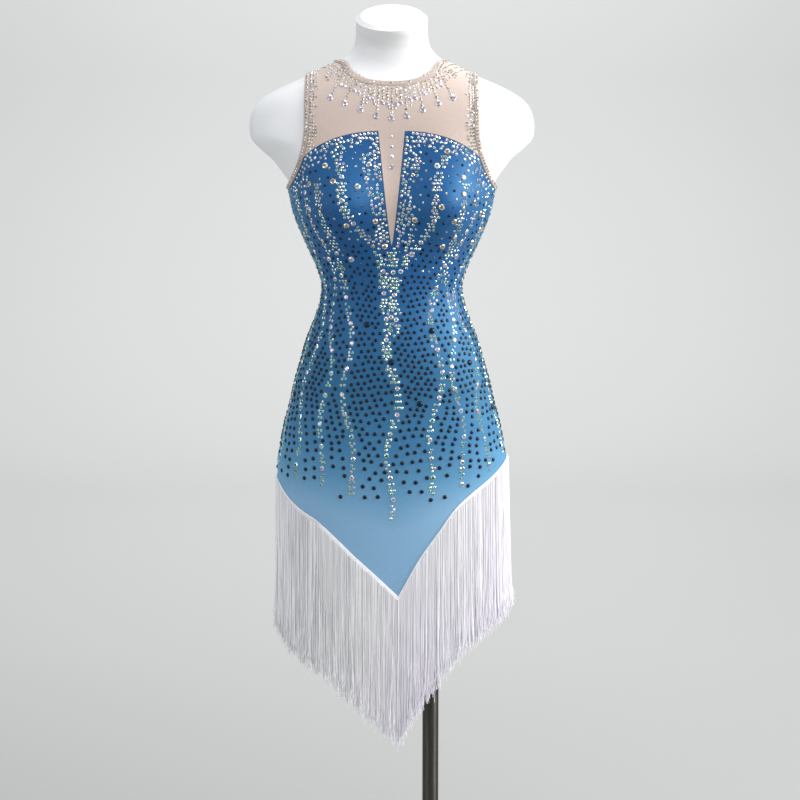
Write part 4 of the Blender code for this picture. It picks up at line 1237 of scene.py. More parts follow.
def braid_spot(front):
    """Angle and height on the braid along one panel's hem."""

    def spot(u, v):
        angle, step = hang_angles(front, u), 0.01
        climb = (hem_at(angle + step, front) - hem_at(angle - step, front)) / (2 * step)
        reach = body_point(angle, np.full_like(angle, HANG_HEIGHT))
        slope = climb / np.hypot(reach[:, 0], reach[:, 1])
        rise = BRAID_WIDTH * np.sqrt(1 + np.minimum(slope**2, BRAID_STEEPEST))
        return angle, hem_at(angle, front) + BRAID_OVER - rise * (1 - v)

    return spot


def strand_paths(front, sizes, seed):
    """Paths of the fringe's threads in layers, from the braid down to their uneven ends."""
    rng = np.random.default_rng(seed)
    count = sizes.strands_per_layer
    length, spread = sizes.fringe_length / MM, sizes.fringe_unevenness / MM
    shares = np.array(STRAND_SHARES)
    tip = np.clip((shares - STRAND_TIP_FROM) / (1 - STRAND_TIP_FROM), 0, 1) ** 2
    paths = []
    for layer in range(STRAND_LAYERS):
        along = (np.arange(count) + rng.uniform(0, 1, count)) / count
        angle = hang_angles(front, along)
        jitter = rng.uniform(-STRAND_JITTER, STRAND_JITTER, count)
        out = STRAND_FIRST_OUT + layer * STRAND_LAYER_STEP + jitter
        level = np.full(count, float(HANG_HEIGHT))
        root = dress_point(angle, level, out)
        normal = outward(angle, level) * (1, 1, 0)
        normal /= np.linalg.norm(normal, axis=1, keepdims=True)
        tangent = np.stack([-normal[:, 1], normal[:, 0], 0 * normal[:, 0]], axis=1)
        locks = rng.normal(0, 1, count // LOCK_STRANDS + 2)
        sway = LOCK_SWAY * np.interp(np.arange(count) / LOCK_STRANDS, np.arange(len(locks)), locks)
        stray = rng.random(count) < STRAY_SHARE
        loose = rng.normal(0, STRAND_SWAY, count)
        sway += loose + np.where(stray, rng.normal(0, STRAY_SWAY, count), 0)
        lift = STRAND_LIFT + STRAND_LIFT_ASIDE * np.cos(angle)
        lift += np.abs(rng.normal(0, STRAND_LIFT_SPREAD, count))
        lift += np.where(stray, np.abs(rng.normal(0, STRAY_LIFT, count)), 0)
        drop = length + rng.normal(0, spread, count)
        wave, curl = rng.uniform(0, 2 * math.pi, count), rng.normal(0, STRAND_CURL, (2, count))
        top = hem_at(angle, front) - BRAID_WIDTH / 2
        for k in range(count):
            bend = sway[k] * shares**STRAND_BEND_POWER + curl[0, k] * tip
            bend += STRAND_WAVE * shares * np.sin((STRAND_WAVES + wave[k]) * shares + wave[k])
            rise = lift[k] * shares**STRAND_LIFT_POWER + np.abs(curl[1, k]) * tip
            path = root[k] + tangent[k] * bend[:, None] + normal[k] * rise[:, None]
            path[:, 2] = top[k] - drop[k] * shares
            paths.append(path)
    return paths


def add_fringe(name, front, seed, sizes, thread, braid):
    """Braid along one panel's hem and the threads that hang from it."""
    curve = bpy.data.curves.new(f"{name}_threads", "CURVE")
    curve.dimensions = "3D"
    curve.bevel_depth = sizes.strand_thickness / 2
    curve.bevel_resolution = 0
    curve.use_fill_caps = True
    taper = np.interp(STRAND_SHARES, *STRAND_TAPER)
    for path in strand_paths(front, sizes, seed):
        spline = curve.splines.new("POLY")
        spline.points.add(len(path) - 1)
        spline.points.foreach_set("co", np.column_stack([path * MM, np.ones(len(path))]).ravel())
        spline.points.foreach_set("radius", taper)
    mesh = plain_mesh(new_object(name, curve))
    mesh.shade_smooth()
    place(f"{name}_threads", mesh, thread, "white_fringe", name)
    over = crowned(FRINGE_OUTER - BRAID_UNDER, STRIP_CROWN)
    bm = cloth_wall(BRAID_COLUMNS, BRAID_ROWS, braid_spot(front), FRINGE_INNER, over)
    place(f"{name}_braid", closed_mesh(name, bm), braid, "white_fringe", name)


def row_round(front, height, shares):
    """Angles at shares of the half girth either side of a panel's middle, at one height."""
    middle = 270 if front else 90
    angles = np.radians(middle + np.linspace(-90, 90, 181))
    walked = walked_to(dress_point(angles, np.full_like(angles, height), CLOTH_OUTER))
    half = walked[-1] / 2
    return np.interp(np.asarray(shares, float) * half, walked - half, angles), half


def on_panel(front, angle, height, margin):
    """Which spots lie on a dyed panel, a margin inside its edges."""
    x = np.abs(body_point(angle, np.maximum(height, HANG_HEIGHT))[:, 0])
    low = hem_at(angle, front) + FRINGE_BRAID + 2 * margin
    inside = (height > low) & (height < panel_top(front, x) - margin)
    underarm = UNDERARM_HEIGHT - ARMHOLE_BAND
    inside &= (height < underarm - margin) | (x < cloth_across(height) - margin)
    if front:
        inside &= (height < SLIT_TIP_HEIGHT - margin) | (x > slit_edge(height) + margin)
    return inside


def panel_top(front, x):
    """Height of a dyed panel's top edge at x from the middle."""
    return bust_line(x) if front else back_scoop(x)


def panel_angle(front, x, height):
    """Angles of points of a panel that are x from the middle, seen from the front."""
    return facing_angle(front, np.where(x < 0, -1, 1), turn_at(x, height))


class StoneBed:
    """Stones already glued on, so that each new one is set clear of them."""

    def __init__(self, seed):
        self.rng = np.random.default_rng(seed)
        self.cells, self.stones = {}, []

    def lay(self, angle, height, kind, radius, over=CLOTH_OUTER, gap=STONE_GAP, stretch=1.0):
        """Sets stones of a kind at spots in turn, leaving out any that would touch another."""
        angle, height = np.atleast_1d(angle), np.atleast_1d(np.asarray(height, float))
        if not len(angle):
            return
        seats = dress_point(angle, height, over - STONE_SINK)
        tips = dress_point(angle, height, over + 1)
        radii = np.broadcast_to(radius, angle.shape)
        kinds = kind if isinstance(kind, (list, np.ndarray)) else [kind] * len(angle)
        for seat, tip, size, name in zip(seats, tips, radii, kinds):
            cell = tuple(int(value // STONE_CELL) for value in seat)
            near = (
                other
                for dx in (-1, 0, 1) for dy in (-1, 0, 1) for dz in (-1, 0, 1)
                for other in self.cells.get((cell[0] + dx, cell[1] + dy, cell[2] + dz), ())
            )
            if any(math.dist(seat, spot) < size + reach + gap for spot, reach in near):
                continue
            self.cells.setdefault(cell, []).append((seat, size))
            normal = Vector(tip - seat).normalized()
            self.stones.append((seat, normal, size, str(name), stretch))

    def pick(self, blend, count):
        """Names of stones picked from a blend, which gives each kind's share."""
        return self.rng.choice(list(blend), count, p=list(blend.values()))


def usual_radii(names):
    """Radii of stones of the named kinds."""
    return np.array([STONE_KINDS[name].radius for name in names])


def edge_rows(bed, front):
    """Staggered rows of white crystals along a panel's top edge, thinning away from it."""
    reach = JUNCTION_ACROSS
    for row, keep in enumerate(EDGE_ROW_SHARES):
        depth = EDGE_FIRST + row * EDGE_STEP
        shift = EDGE_PITCH / 2 * (row % 2)
        x = np.arange(-reach, reach, EDGE_PITCH) + shift
        height = panel_top(front, x) - depth
        lay_on_panel(bed, front, x, height, EDGE_MIX, keep)
        down = np.arange(UNDERARM_HEIGHT - 4, JUNCTION_HEIGHT, EDGE_PITCH) + shift
        for side in (-1, 1):
            x = side * (cloth_across(down) - depth)
            lay_on_panel(bed, front, x, down, EDGE_MIX, keep)
            if front:
                rise = np.arange(SLIT_TIP_HEIGHT, BUST_LINE_TOP, EDGE_PITCH) + shift
                x = side * (slit_edge(rise) + depth)
                lay_on_panel(bed, front, x, rise, EDGE_MIX, keep**1.4)


def lay_on_panel(bed, front, x, height, blend, keep):
    """Lays a share of stones of a blend at front-view places, where they fall on the panel."""
    rng = bed.rng
    stay = rng.random(len(x)) < keep
    x = x[stay] + rng.normal(0, STONE_PLAY, stay.sum())
    height = height[stay] + rng.normal(0, STONE_PLAY, stay.sum())
    angle = panel_angle(front, x, np.maximum(height, HANG_HEIGHT))
    fits = on_panel(front, angle, height, EDGE_MARGIN)
    names = bed.pick(blend, int(fits.sum()))
    bed.lay(angle[fits], height[fits], names, usual_radii(names))


def streams(bed, front):
    """Wandering streams of stones from the top edge down towards the V-shaped lower limit."""
    for stream in STREAMS:
        for side in ((-1, 1) if stream.top_share or stream.low_share else (1,)):
            lay_stream(bed, front, stream, side)


def lay_stream(bed, front, stream, side):
    """One stream: staggered lanes that grow fewer on the way down, with a large stone now and then."""
    rng = bed.rng
    phase, row, rows = rng.uniform(0, 2 * math.pi), 0, []
    height = last_big = stream.top
    while height > stream.low:
        fall = (stream.top - height) / (stream.top - stream.low)
        share = side * mix(stream.top_share, stream.low_share, fall * fall * (3 - 2 * fall))
        share += STREAM_WANDER * math.sin(phase + height / STREAM_WAVE) * math.sin(math.pi * fall)
        _, half = row_round(front, height, [share])
        big = last_big - height > STREAM_BIG_EVERY * rng.uniform(*STREAM_BIG_PLAY)
        lanes = mix(stream.lanes, stream.low_lanes, fall) + rng.normal(0, STREAM_LANE_PLAY)
        lanes = 1 if big else max(1, round(lanes) - row % 2)
        offsets = (np.arange(lanes) - (lanes - 1) / 2) * STREAM_LANE
        offsets = offsets + rng.normal(0, STREAM_PLAY, lanes)
        if lanes == 1 and not big:
            offsets += STREAM_ASIDE * STREAM_LANE * (-1) ** row
        angle, _ = row_round(front, height, share + offsets / half)
        level = height + rng.normal(0, STREAM_PLAY, lanes)
        upper = height > WAIST_HEIGHT + STREAM_UPPER_RISE
        plain = UPPER_STREAM_MIX if upper else STREAM_MIX
        names = bed.pick((BIG_MIX if upper else LOW_BIG_MIX) if big else plain, lanes)
        radii = usual_radii(names) * (BIG_SCALE if big else 1)
        rows.append((big, angle, level, names, radii))
        last_big = height if big else last_big
        height -= STREAM_STEP
        row += 1
    for _, angle, level, names, radii in sorted(rows, key=lambda laid: not laid[0]):
        fits = on_panel(front, angle, level, STREAM_MARGIN)
        bed.lay(angle[fits], level[fits], names[fits], radii[fits], gap=STREAM_GAP)


def lower_limit(x):
    """Height below which no stone is set: a shallow V."""
    return FIELD_LIMIT + FIELD_LIMIT_SLOPE * np.abs(x)


def scatter_singles(bed, front, singles):
    """Large single stones, well apart."""
    rng, placed = bed.rng, []
    for _ in range(singles.count * SINGLE_TRIES):
        if len(placed) == singles.count:
            return
        height = rng.uniform(singles.low, singles.high)
        angle, _ = row_round(front, height, [rng.uniform(-SINGLE_REACH, SINGLE_REACH)])
        seat = dress_point(angle, np.array([height]), CLOTH_OUTER)[0]
        if not on_panel(front, angle, np.array([height]), SINGLE_MARGIN)[0]:
            continue
        if any(math.dist(seat, other) < singles.apart for other in placed):
            continue
        placed.append(seat)
        bed.lay(angle, [height], bed.pick(singles.blend, 1), singles.radius, gap=SINGLE_GAP)


def field(bed, front):
    """Staggered rows over the whole panel: sparse small stones above, close jet ones below."""
    rng = bed.rng
    height, row = BUST_LINE_TOP - FIELD_DROP, 0
    while height > FIELD_LIMIT:
        closeness = np.interp(height, FIELD_HEIGHTS, FIELD_PITCHES)
        _, half = row_round(front, height, [0])
        count = int(half / closeness)
        places = (np.arange(-count, count + 1) + 0.5 * (row % 2)) * closeness / half
        slip = rng.normal(0, FIELD_SLIP * closeness, (2, len(places)))
        angle, _ = row_round(front, height, places + slip[0] / half)
        wave = np.sin(places * FIELD_WAVES_ROUND + height / FIELD_WAVE_RISE)
        level = height + slip[1] + FIELD_WAVE * wave
        x = body_point(angle, np.maximum(level, HANG_HEIGHT))[:, 0]
        limit = lower_limit(x)
        fits = on_panel(front, angle, level, FIELD_MARGIN) & (level > limit)
        thin = np.clip((level - limit) / FIELD_FADE, 0, 1)
        fits &= rng.random(len(angle)) < FIELD_LEAST + (1 - FIELD_LEAST) * thin
        jet = rng.random(len(angle)) < np.interp(level, *JET_SHARE)
        names = np.where(jet, "jet", bed.pick(UPPER_MIX, len(angle)))
        radii = usual_radii(names) * np.where(names == "jet", np.interp(level, *JET_GROWTH), 1)
        bed.lay(angle[fits], level[fits], names[fits], radii[fits], gap=FIELD_GAP)
        height -= FIELD_ROW * closeness
        row += 1


def neck_collar(bed):
    """Rows round the neck, rays of stones that fan down from them to drops, and a fine scatter."""
    rng = bed.rng
    nape = NAPE_END_HALF_WIDTH + NAPE_STONE_CLEAR
    clear = math.radians(90 - float(turn_at(nape, NECK_SIDE_HEIGHT)))
    for k, start in enumerate(np.linspace(-1, 1, RAY_COUNT)):
        long_one = k % RAY_LONG_EVERY == 0
        reach = mix(*RAY_LENGTH, abs(start) ** RAY_GROWTH) * (1 if long_one else SHORT_RAY)
        walk = np.append(np.arange(RAY_FIRST, reach - RAY_LAST, RAY_STEP), reach)
        x, height = ray_places(start * RAY_SPREAD, walk)
        spots = panel_angle(True, x, height)
        drop = RAY_DROPS[0] if long_one else RAY_DROPS[1]
        bed.lay(spots[-1:], height[-1:], "rose_drop", drop, gap=STREAM_GAP, stretch=RAY_DROP_STRETCH)
        names, radii = bed.pick(NECK_MIX, len(walk) - 1), rng.uniform(*RAY_RADII, len(walk) - 1)
        bed.lay(spots[:-1], height[:-1], names, radii, gap=CLOSE_GAP)
    for row, (drop, over, keep, reach) in enumerate(NECK_ROWS):
        shares = (np.arange(NECK_ROW_COUNT) + 0.5 * (row % 2)) / NECK_ROW_COUNT
        angle = mix(math.pi / 2 + clear, math.pi * 2.5 - clear, shares)
        angle = angle[(rng.random(NECK_ROW_COUNT) < keep) & (np.sin(angle) < reach)]
        radii = rng.uniform(*NECK_ROW_RADII, len(angle))
        names = bed.pick(NECK_MIX, len(angle))
        bed.lay(angle, neck_edge(angle) - drop, names, radii, over, gap=CLOSE_GAP)
    for _ in range(NECK_SCATTER):
        start = rng.uniform(-SCATTER_SPREAD, SCATTER_SPREAD) * RAY_SPREAD
        depth = rng.triangular(*SCATTER_DEPTHS)
        x, height = ray_places(start, np.array([depth]))
        angle = panel_angle(True, x, height)
        names = bed.pick(NECK_MIX, 1)
        bed.lay(angle, height, names, rng.uniform(*SCATTER_RADII), gap=SCATTER_GAP)


def ray_places(start, walk):
    """Front-view places down a ray from the neckline: upright at the middle, aslant at the sides."""
    angle = np.array([math.radians(270 + start)])
    x0 = float(body_point(angle, np.array([float(NECK_SIDE_HEIGHT)]))[0, 0])
    share = abs(start) / RAY_SPREAD
    lean = math.copysign(math.radians(RAY_LEAN) * share**RAY_BEND, start)
    return x0 + walk * math.sin(lean), float(neck_edge(angle)[0]) - walk * math.cos(lean)


def even_spots(angle, height, pitch, shift=0.0):
    """Angles and heights at an even pitch along a line over the cloth."""
    walked = walked_to(dress_point(angle, height, CLOTH_OUTER))
    at = np.arange((0.5 + shift) * pitch, walked[-1], pitch)
    return np.interp(at, walked, angle), np.interp(at, walked, height)


def armhole_rows(bed):
    """Zigzag rows round each armhole: on its binding, and on the sheer mesh beside it."""
    rng = bed.rng
    for side in (-1, 1):
        u = np.linspace(0, 1, ARMHOLE_POINTS)
        middle = strip_line(armhole_binding_spot(side), 0.5, ARMHOLE_POINTS)
        angle, height = even_spots(*middle, ARMHOLE_PITCH)
        names = bed.pick(NECK_MIX, len(angle))
        radii = rng.uniform(*ARMHOLE_RADII, len(angle))
        bed.lay(angle, height, names, radii, BINDING_OUTER - 0.05, gap=CLOSE_GAP)
        for front in (True, False):
            for row, (inset, keep) in enumerate(zip(ARMHOLE_INSETS, ARMHOLE_KEEP)):
                turn, height = armhole_edge(u, inset)
                angle = facing_angle(front, side, turn)
                angle, height = even_spots(angle, height, ARMHOLE_PITCH, 0.5 * (row % 2))
                low = bust_line(armhole_across(height, inset)) if front else JUNCTION_HEIGHT
                sheer = (rng.random(len(angle)) < keep) & (height > low + 3)
                names = bed.pick(NECK_MIX, int(sheer.sum()))
                radii = rng.uniform(*ARMHOLE_NET_RADII, len(names))
                bed.lay(angle[sheer], height[sheer], names, radii, gap=CLOSE_GAP)


def slit_column(bed):
    """A short column of stones down the sheer slit, ending in a drop."""
    for k, (radius, name, stretch) in enumerate(SLIT_STONES):
        height = BUST_LINE_TOP - SLIT_FIRST - k * SLIT_STEP
        bed.lay(np.array([1.5 * math.pi]), [height], name, radius, stretch=stretch)


def stone_shape(name, profile, sides):
    """One cut stone of radius 1, flat underneath, with a mark on the faces of its crown."""
    bm = turned([(r / MM, h / MM) for r, h in profile], sides)
    face_outwards(bm)
    crown = bm.faces.layers.float.new("crown")
    for face in bm.faces:
        face[crown] = 0.0 if face.normal.z > TABLE_FLATNESS else 1.0
    return into_mesh(name, bm)


def setting_nodes(template):
    """Geometry nodes that set a template on every point by its own turn and size."""
    tree = bpy.data.node_groups.new(f"set_{template.name}", "GeometryNodeTree")
    for in_out in ("INPUT", "OUTPUT"):
        tree.interface.new_socket("Geometry", in_out=in_out, socket_type="NodeSocketGeometry")
    entry, leave = tree.nodes.new("NodeGroupInput"), tree.nodes.new("NodeGroupOutput")
    stone = tree.nodes.new("GeometryNodeObjectInfo")
    stone.inputs["Object"].default_value = template
    setter = tree.nodes.new("GeometryNodeInstanceOnPoints")
    whole = tree.nodes.new("GeometryNodeRealizeInstances")
    for name, socket in (("turn", "Rotation"), ("size", "Scale")):
        read = tree.nodes.new("GeometryNodeInputNamedAttribute")
        read.data_type = "FLOAT_VECTOR"
        read.inputs["Name"].default_value = name
        tree.links.new(read.outputs["Attribute"], setter.inputs[socket])
    tree.links.new(entry.outputs["Geometry"], setter.inputs["Points"])
    tree.links.new(stone.outputs["Geometry"], setter.inputs["Instance"])
    tree.links.new(setter.outputs["Instances"], whole.inputs["Geometry"])
    tree.links.new(whole.outputs["Geometry"], leave.inputs["Geometry"])
    return tree


def set_shapes(name, seats, template_mesh):
    """One mesh of a template set at every seat: place, normal, size and colours."""
    template = new_object(f"{name}_template", template_mesh)
    bm = bmesh.new()
    turn_layer = bm.verts.layers.float_vector.new("turn")
    size_layer = bm.verts.layers.float_vector.new("size")
    # The table colour of each seat is a painted reflection, stored beside the stone's own colour
    own, table = (bm.verts.layers.float_color.new(f"{part}_colour") for part in ("stone", "table"))
    for place_of, turn, size, colour, deep in seats:
        vertex = bm.verts.new(place_of)
        vertex[turn_layer], vertex[size_layer] = turn, size
        vertex[own], vertex[table] = (*colour, 1), (*deep, 1)
    holder = new_object(name, into_mesh(name, bm))
    holder.modifiers.new("set", "NODES").node_group = setting_nodes(template)
    mesh = plain_mesh(holder)
    bpy.data.objects.remove(template)
    return mesh


def stone_group(name, radius):
    """Which piece a stone belongs to: the jet ones, and the large and small bright ones."""
    if name == "jet":
        return "jets"
    return "crystals" if radius < LARGE_RADIUS else "large_crystals"


def stone_seats(bed, group, seed):
    """Place, turn, size and colours of a bed's stones of one group."""
    rng = np.random.default_rng(seed)
    seats = []
    for seat, normal, radius, name, stretch in bed.stones:
        kind = STONE_KINDS[name]
        if stone_group(name, radius) != group:
            continue
        up = Vector((0, 0, 1)) - normal * normal.z
        up = up.normalized() if up.length > 0.01 else Vector((0, 1, 0))
        facing = Matrix((up.cross(normal), up, normal)).transposed()
        if stretch == 1:
            facing = facing @ Matrix.Rotation(rng.uniform(0, 2 * math.pi), 3, "Z")
        size = Vector((radius, radius * stretch, radius * kind.tallness)) * MM
        tone = rng.uniform(*STONE_TONES)
        colour = tuple(min(1, tone * value) for value in kind.colour)
        # kind.table is the table's painted reflection colour
        seats.append((Vector(seat * MM), facing.to_euler(), size, colour, kind.table))
    return seats


def add_stones(crystal_material, jet_material):
    """Every rhinestone: beds for the front, the back and the sheer top, each laid by rule."""
    small = stone_shape("cut_stone", CRYSTAL_PROFILE, CRYSTAL_SIDES)
    large = stone_shape("large_stone", LARGE_PROFILE, LARGE_SIDES)
    dome = stone_shape("domed_stone", JET_PROFILE, JET_SIDES)
    beds = {word: StoneBed(seed) for word, seed in BED_SEEDS.items()}
    for word, front in (("front", True), ("back", False)):
        bed = beds[word]
        for singles in SINGLES:
            scatter_singles(bed, front, singles)
        edge_rows(bed, front)
        streams(bed, front)
        field(bed, front)
    slit_column(beds["top"])
    neck_collar(beds["top"])
    armhole_rows(beds["top"])
    for seed, (word, bed) in enumerate(beds.items()):
        slot = "nude_mesh" if word == "top" else "blue_stretch"
        for kind, shape, material in (
            ("crystals", small, crystal_material),
            ("large_crystals", large, crystal_material),
            ("jets", dome, jet_material),
        ):
            seats = stone_seats(bed, kind, FIRST_SEAT_SEED + seed)
            if not seats:
                continue
            mesh = set_shapes(f"{word}_{kind}", seats, shape)
            if kind == "jets":
                smooth_up_to(mesh, 50)
            place(f"{word}_{kind}", mesh, material, slot)


def stitch_lines():
    """Lines of stitching: the thread's colour, and the line's points in millimetres."""
    lines = []
    for side in (-1, 1):
        for share in BINDING_STITCHES:
            line = strip_line(armhole_binding_spot(side), share, STITCH_POINTS)
            lines.append(("nude", dress_point(*line, BINDING_OUTER - STITCH_SINK)))
    line = strip_line(neck_binding_spot, NECK_STITCHES, STITCH_POINTS, NECK_STITCH_END)
    lines.append(("nude", dress_point(*line, BINDING_OUTER - NECK_STITCH_SINK)))
    for front in (True, False):
        reach = JUNCTION_ACROSS - BUST_STITCH_END
        x = np.linspace(-reach, reach, STITCH_POINTS)
        height = panel_top(front, x) - BUST_STITCH_DROP
        angle = panel_angle(front, x, height)
        inside = on_panel(front, angle, height, STITCH_MARGIN)
        lines.append(("blue", dress_point(angle[inside], height[inside], CLOTH_OUTER)))
        line = strip_line(braid_spot(front), BRAID_STITCHES, BRAID_POINTS, BRAID_STITCH_END)
        lines.append(("white", dress_point(*line, FRINGE_OUTER - STITCH_SINK)))
        seam_top = UNDERARM_HEIGHT - SEAM_STITCH_DROP
        for end in SEAM_STITCHES:
            heights = np.linspace(SEAM_STITCH_LOW, seam_top, SEAM_STITCH_ROWS)
            angle = np.array([float(row_round(front, h, [end])[0][0]) for h in heights])
            lines.append(("blue", dress_point(angle, heights, CLOTH_OUTER)))
    return lines


def along_line(points, pitch):
    """Places and directions at an even pitch along a line of points."""
    steps = np.linalg.norm(np.diff(points, axis=0), axis=1)
    joined = steps < STITCH_JOIN
    walked = np.concatenate([[0], np.cumsum(np.where(joined, steps, 0))])
    at = np.arange(pitch / 2, walked[-1], pitch)
    here = np.column_stack([np.interp(at, walked, points[:, k]) for k in range(3)])
    ahead = np.column_stack([np.interp(at + STITCH_AHEAD, walked, points[:, k]) for k in range(3)])
    return here, ahead - here


def add_stitches(materials):
    """Small straight stitches along the bindings, the bust line, the seams and the braid."""
    stitch = stone_shape("stitch", STITCH_PROFILE, STITCH_SIDES)
    bm = bmesh.new()
    bm.from_mesh(stitch)
    bmesh.ops.rotate(bm, verts=bm.verts[:], matrix=Matrix.Rotation(math.pi / 2, 3, "Y"))
    bm.to_mesh(stitch)
    bm.free()
    groups = {}
    for colour, points in stitch_lines():
        groups.setdefault(colour, []).extend(zip(*along_line(points, STITCH_PITCH)))
    slots = {"nude": "nude_mesh", "blue": "blue_stretch", "white": "white_fringe"}
    for colour, places in groups.items():
        seats = []
        for here, step in places:
            direction = Vector(step).normalized()
            turn = direction.to_track_quat("X", "Z").to_euler()
            seats.append((Vector(here * MM), turn, Vector((1, 1, 1)) * MM, (1, 1, 1), (1, 1, 1)))
        mesh = set_shapes(f"{colour}_stitches", seats, stitch.copy())
        mesh.shade_smooth()
        place(f"{colour}_stitches", mesh, materials[colour], slots[colour])


def nape_point(x, drop, out):
    """Points over the neck binding at the back, x from the middle and a drop below its top edge."""
    height = NECK_SIDE_HEIGHT + NECK_BACK_RISE - drop
    angle = math.pi / 2 - np.sign(x) * np.radians(90 - turn_at(x, height))
    return dress_point(angle, height, BINDING_OUTER + out)


def add_nape_fastening(button_material, loop_material):
    """Shanked nude button on one end of the neck binding, and its thread loop."""
    middle = np.array([NAPE_FASTENING_DROP])
    seat, tip = (nape_point(np.array([BUTTON_ACROSS]), middle, np.array([out])) for out in (GAP, 1))
    normal = Vector((tip - seat)[0]).normalized()
    bm = turned(BUTTON_PROFILE, BUTTON_SIDES)
    turn = Matrix.Rotation(math.atan2(normal.y, normal.x), 3, "Z") @ Matrix.Rotation(
        math.acos(normal.z), 3, "Y"
    )
    bmesh.ops.rotate(bm, verts=bm.verts[:], matrix=turn)
    bmesh.ops.translate(bm, verts=bm.verts[:], vec=Vector(seat[0]) * MM)
    mesh = closed_mesh("nape_button", bm)
    place("nape_button_turned", mesh, button_material, "nude_button", "nape_button")

    bm = bmesh.new()
    bmesh.ops.create_circle(bm, segments=LOOP_SIDES, radius=LOOP_THREAD_RADIUS)
    reach = BUTTON_RADIUS + LOOP_CLEARANCE + LOOP_THREAD_RADIUS
    bmesh.ops.rotate(bm, verts=bm.verts[:], matrix=Matrix.Rotation(math.pi / 2, 3, "X"))
    bmesh.ops.translate(bm, verts=bm.verts[:], vec=(reach, 0, 0))
    bmesh.ops.spin(
        bm, geom=bm.verts[:] + bm.edges[:], cent=(0, 0, 0), axis=(0, 0, 1), angle=2 * math.pi,
        steps=LOOP_STEPS, use_merge=True,
    )
    bmesh.ops.remove_doubles(bm, verts=bm.verts[:], dist=0.01)
    flat = np.array([vertex.co for vertex in bm.verts])
    x = flat[:, 0] + BUTTON_ACROSS - np.where(flat[:, 0] < 0, LOOP_REACH, 0)
    out = flat[:, 2] + LOOP_THREAD_RADIUS + GAP
    put(bm.verts, nape_point(x, NAPE_FASTENING_DROP - flat[:, 1], out))
    mesh = closed_mesh("nape_loop", bm, 80)
    place("nape_loop_thread", mesh, loop_material, "nude_button", "nape_loop")


class FringeDressSizes(bpy.types.PropertyGroup):
    """Sizes of the fringe that a user may change."""

    fringe_length: FloatProperty(
        name="Fringe length", description="Drop of the threads below the hem",
        default=(LOCK_LENGTH + 6) * MM, min=0.02, max=0.25, unit="LENGTH",
    )
    fringe_unevenness: FloatProperty(
        name="Unevenness", description="Spread of the threads' lengths",
        default=5.2 * MM, min=0, max=0.02, unit="LENGTH",
    )
    strand_thickness: FloatProperty(
        name="Thread thickness", description="Diameter of one thread",
        default=0.95 * MM, min=0.0003, max=0.003, unit="LENGTH",
    )
    strands_per_layer: IntProperty(
        name="Threads per layer", description="Threads in each layer of one panel's fringe",
        default=560, min=50, max=900,
    )


def swatch(name, description, colour):
    """Colour property of a finish."""
    return FloatVectorProperty(
        name=name, description=description, subtype="COLOR", size=3, default=colour, min=0, max=1
    )


class FringeDressColours(bpy.types.PropertyGroup):
    """Colours of the cloth, form, stand and studio."""

    hem: swatch("Hem", "Dye at the point of the hem", (0.265, 0.455, 0.65))
    skirt: swatch("Skirt", "Dye above the hem", (0.12, 0.305, 0.495))
    hips: swatch("Low hips", "Dye over the low hips", (0.053, 0.185, 0.36))
    seat: swatch("High hips", "Dye over the high hips", (0.029, 0.122, 0.255))
    waist: swatch("Waist", "Dye over the waist", (0.017, 0.094, 0.265))
    bust: swatch("Bust", "Dye over the bust", (0.012, 0.076, 0.25))
    net_thread: swatch("Mesh threads", "Threads of the sheer mesh", (0.485, 0.375, 0.32))
    net_hole: swatch("Mesh holes", "White form seen through the mesh", (0.76, 0.655, 0.60))
    binding: swatch("Binding", "Nude binding", (0.55, 0.44, 0.385))
    form: swatch("Form", "Painted dress form", (0.80, 0.80, 0.80))
    steel: swatch("Stand", "Black nickel plate", (0.075, 0.072, 0.062))
    fringe: swatch("Fringe", "Rayon threads", (0.97, 0.965, 0.98))
    # Darker threads of the fringe, and also the painted shade in the braid's grooves
    fringe_shade: swatch("Fringe shade", "Darker threads of the fringe", (0.78, 0.77, 0.82))
    jet: swatch("Jet", "Black stones", (0.0025, 0.0045, 0.012))
    floor: swatch("Floor", "Studio floor and backdrop", (0.60, 0.605, 0.592))


class FringeDressStudio(bpy.types.PropertyGroup):
    """Light and view of the studio."""

    key_power: FloatProperty(
        name="Key light", description="Power of the soft light at the viewer's right",
        default=47, min=0, max=1000, unit="POWER",
    )
    fill_power: FloatProperty(
        name="Fill light", description="Power of the soft light at the viewer's left",
        default=23, min=0, max=1000, unit="POWER",
    )
    view_angle: FloatProperty(
        name="View angle", description="Width of the camera's view",
        default=math.radians(24.0), min=0.1, max=1.5, subtype="ANGLE",
    )
    tilt: FloatProperty(
        name="Tilt", description="How far the camera looks down",
        default=math.radians(8.385), min=-0.5, max=0.8, subtype="ANGLE",
    )


Settings = namedtuple("Settings", "sizes colours studio")


def settings():
    """The scene's sizes, colours and studio, as the user left them."""
    scene = bpy.context.scene
    return Settings(scene.fringe_dress_sizes, scene.fringe_dress_colours, scene.fringe_dress_studio)


class PieceOperator:
    """What every operator here shares: it builds its pieces as the settings say."""

    bl_options = {"REGISTER", "UNDO"}

    def execute(self, context):
        self.build(settings())
        return {"FINISHED"}


class FRINGEDRESS_OT_form(PieceOperator, bpy.types.Operator):
    """Model the limbless white torso"""

    bl_idname = "fringe_dress.form"
    bl_label = "Form"

    def build(self, chosen):
        add_form(form_finish(chosen.colours.form))


class FRINGEDRESS_OT_stand(PieceOperator, bpy.types.Operator):
    """Turn the base, collar, pole and flange of the stand"""

    bl_idname = "fringe_dress.stand"
    bl_label = "Stand"

    def build(self, chosen):
        add_stand(steel_finish(chosen.colours.steel))


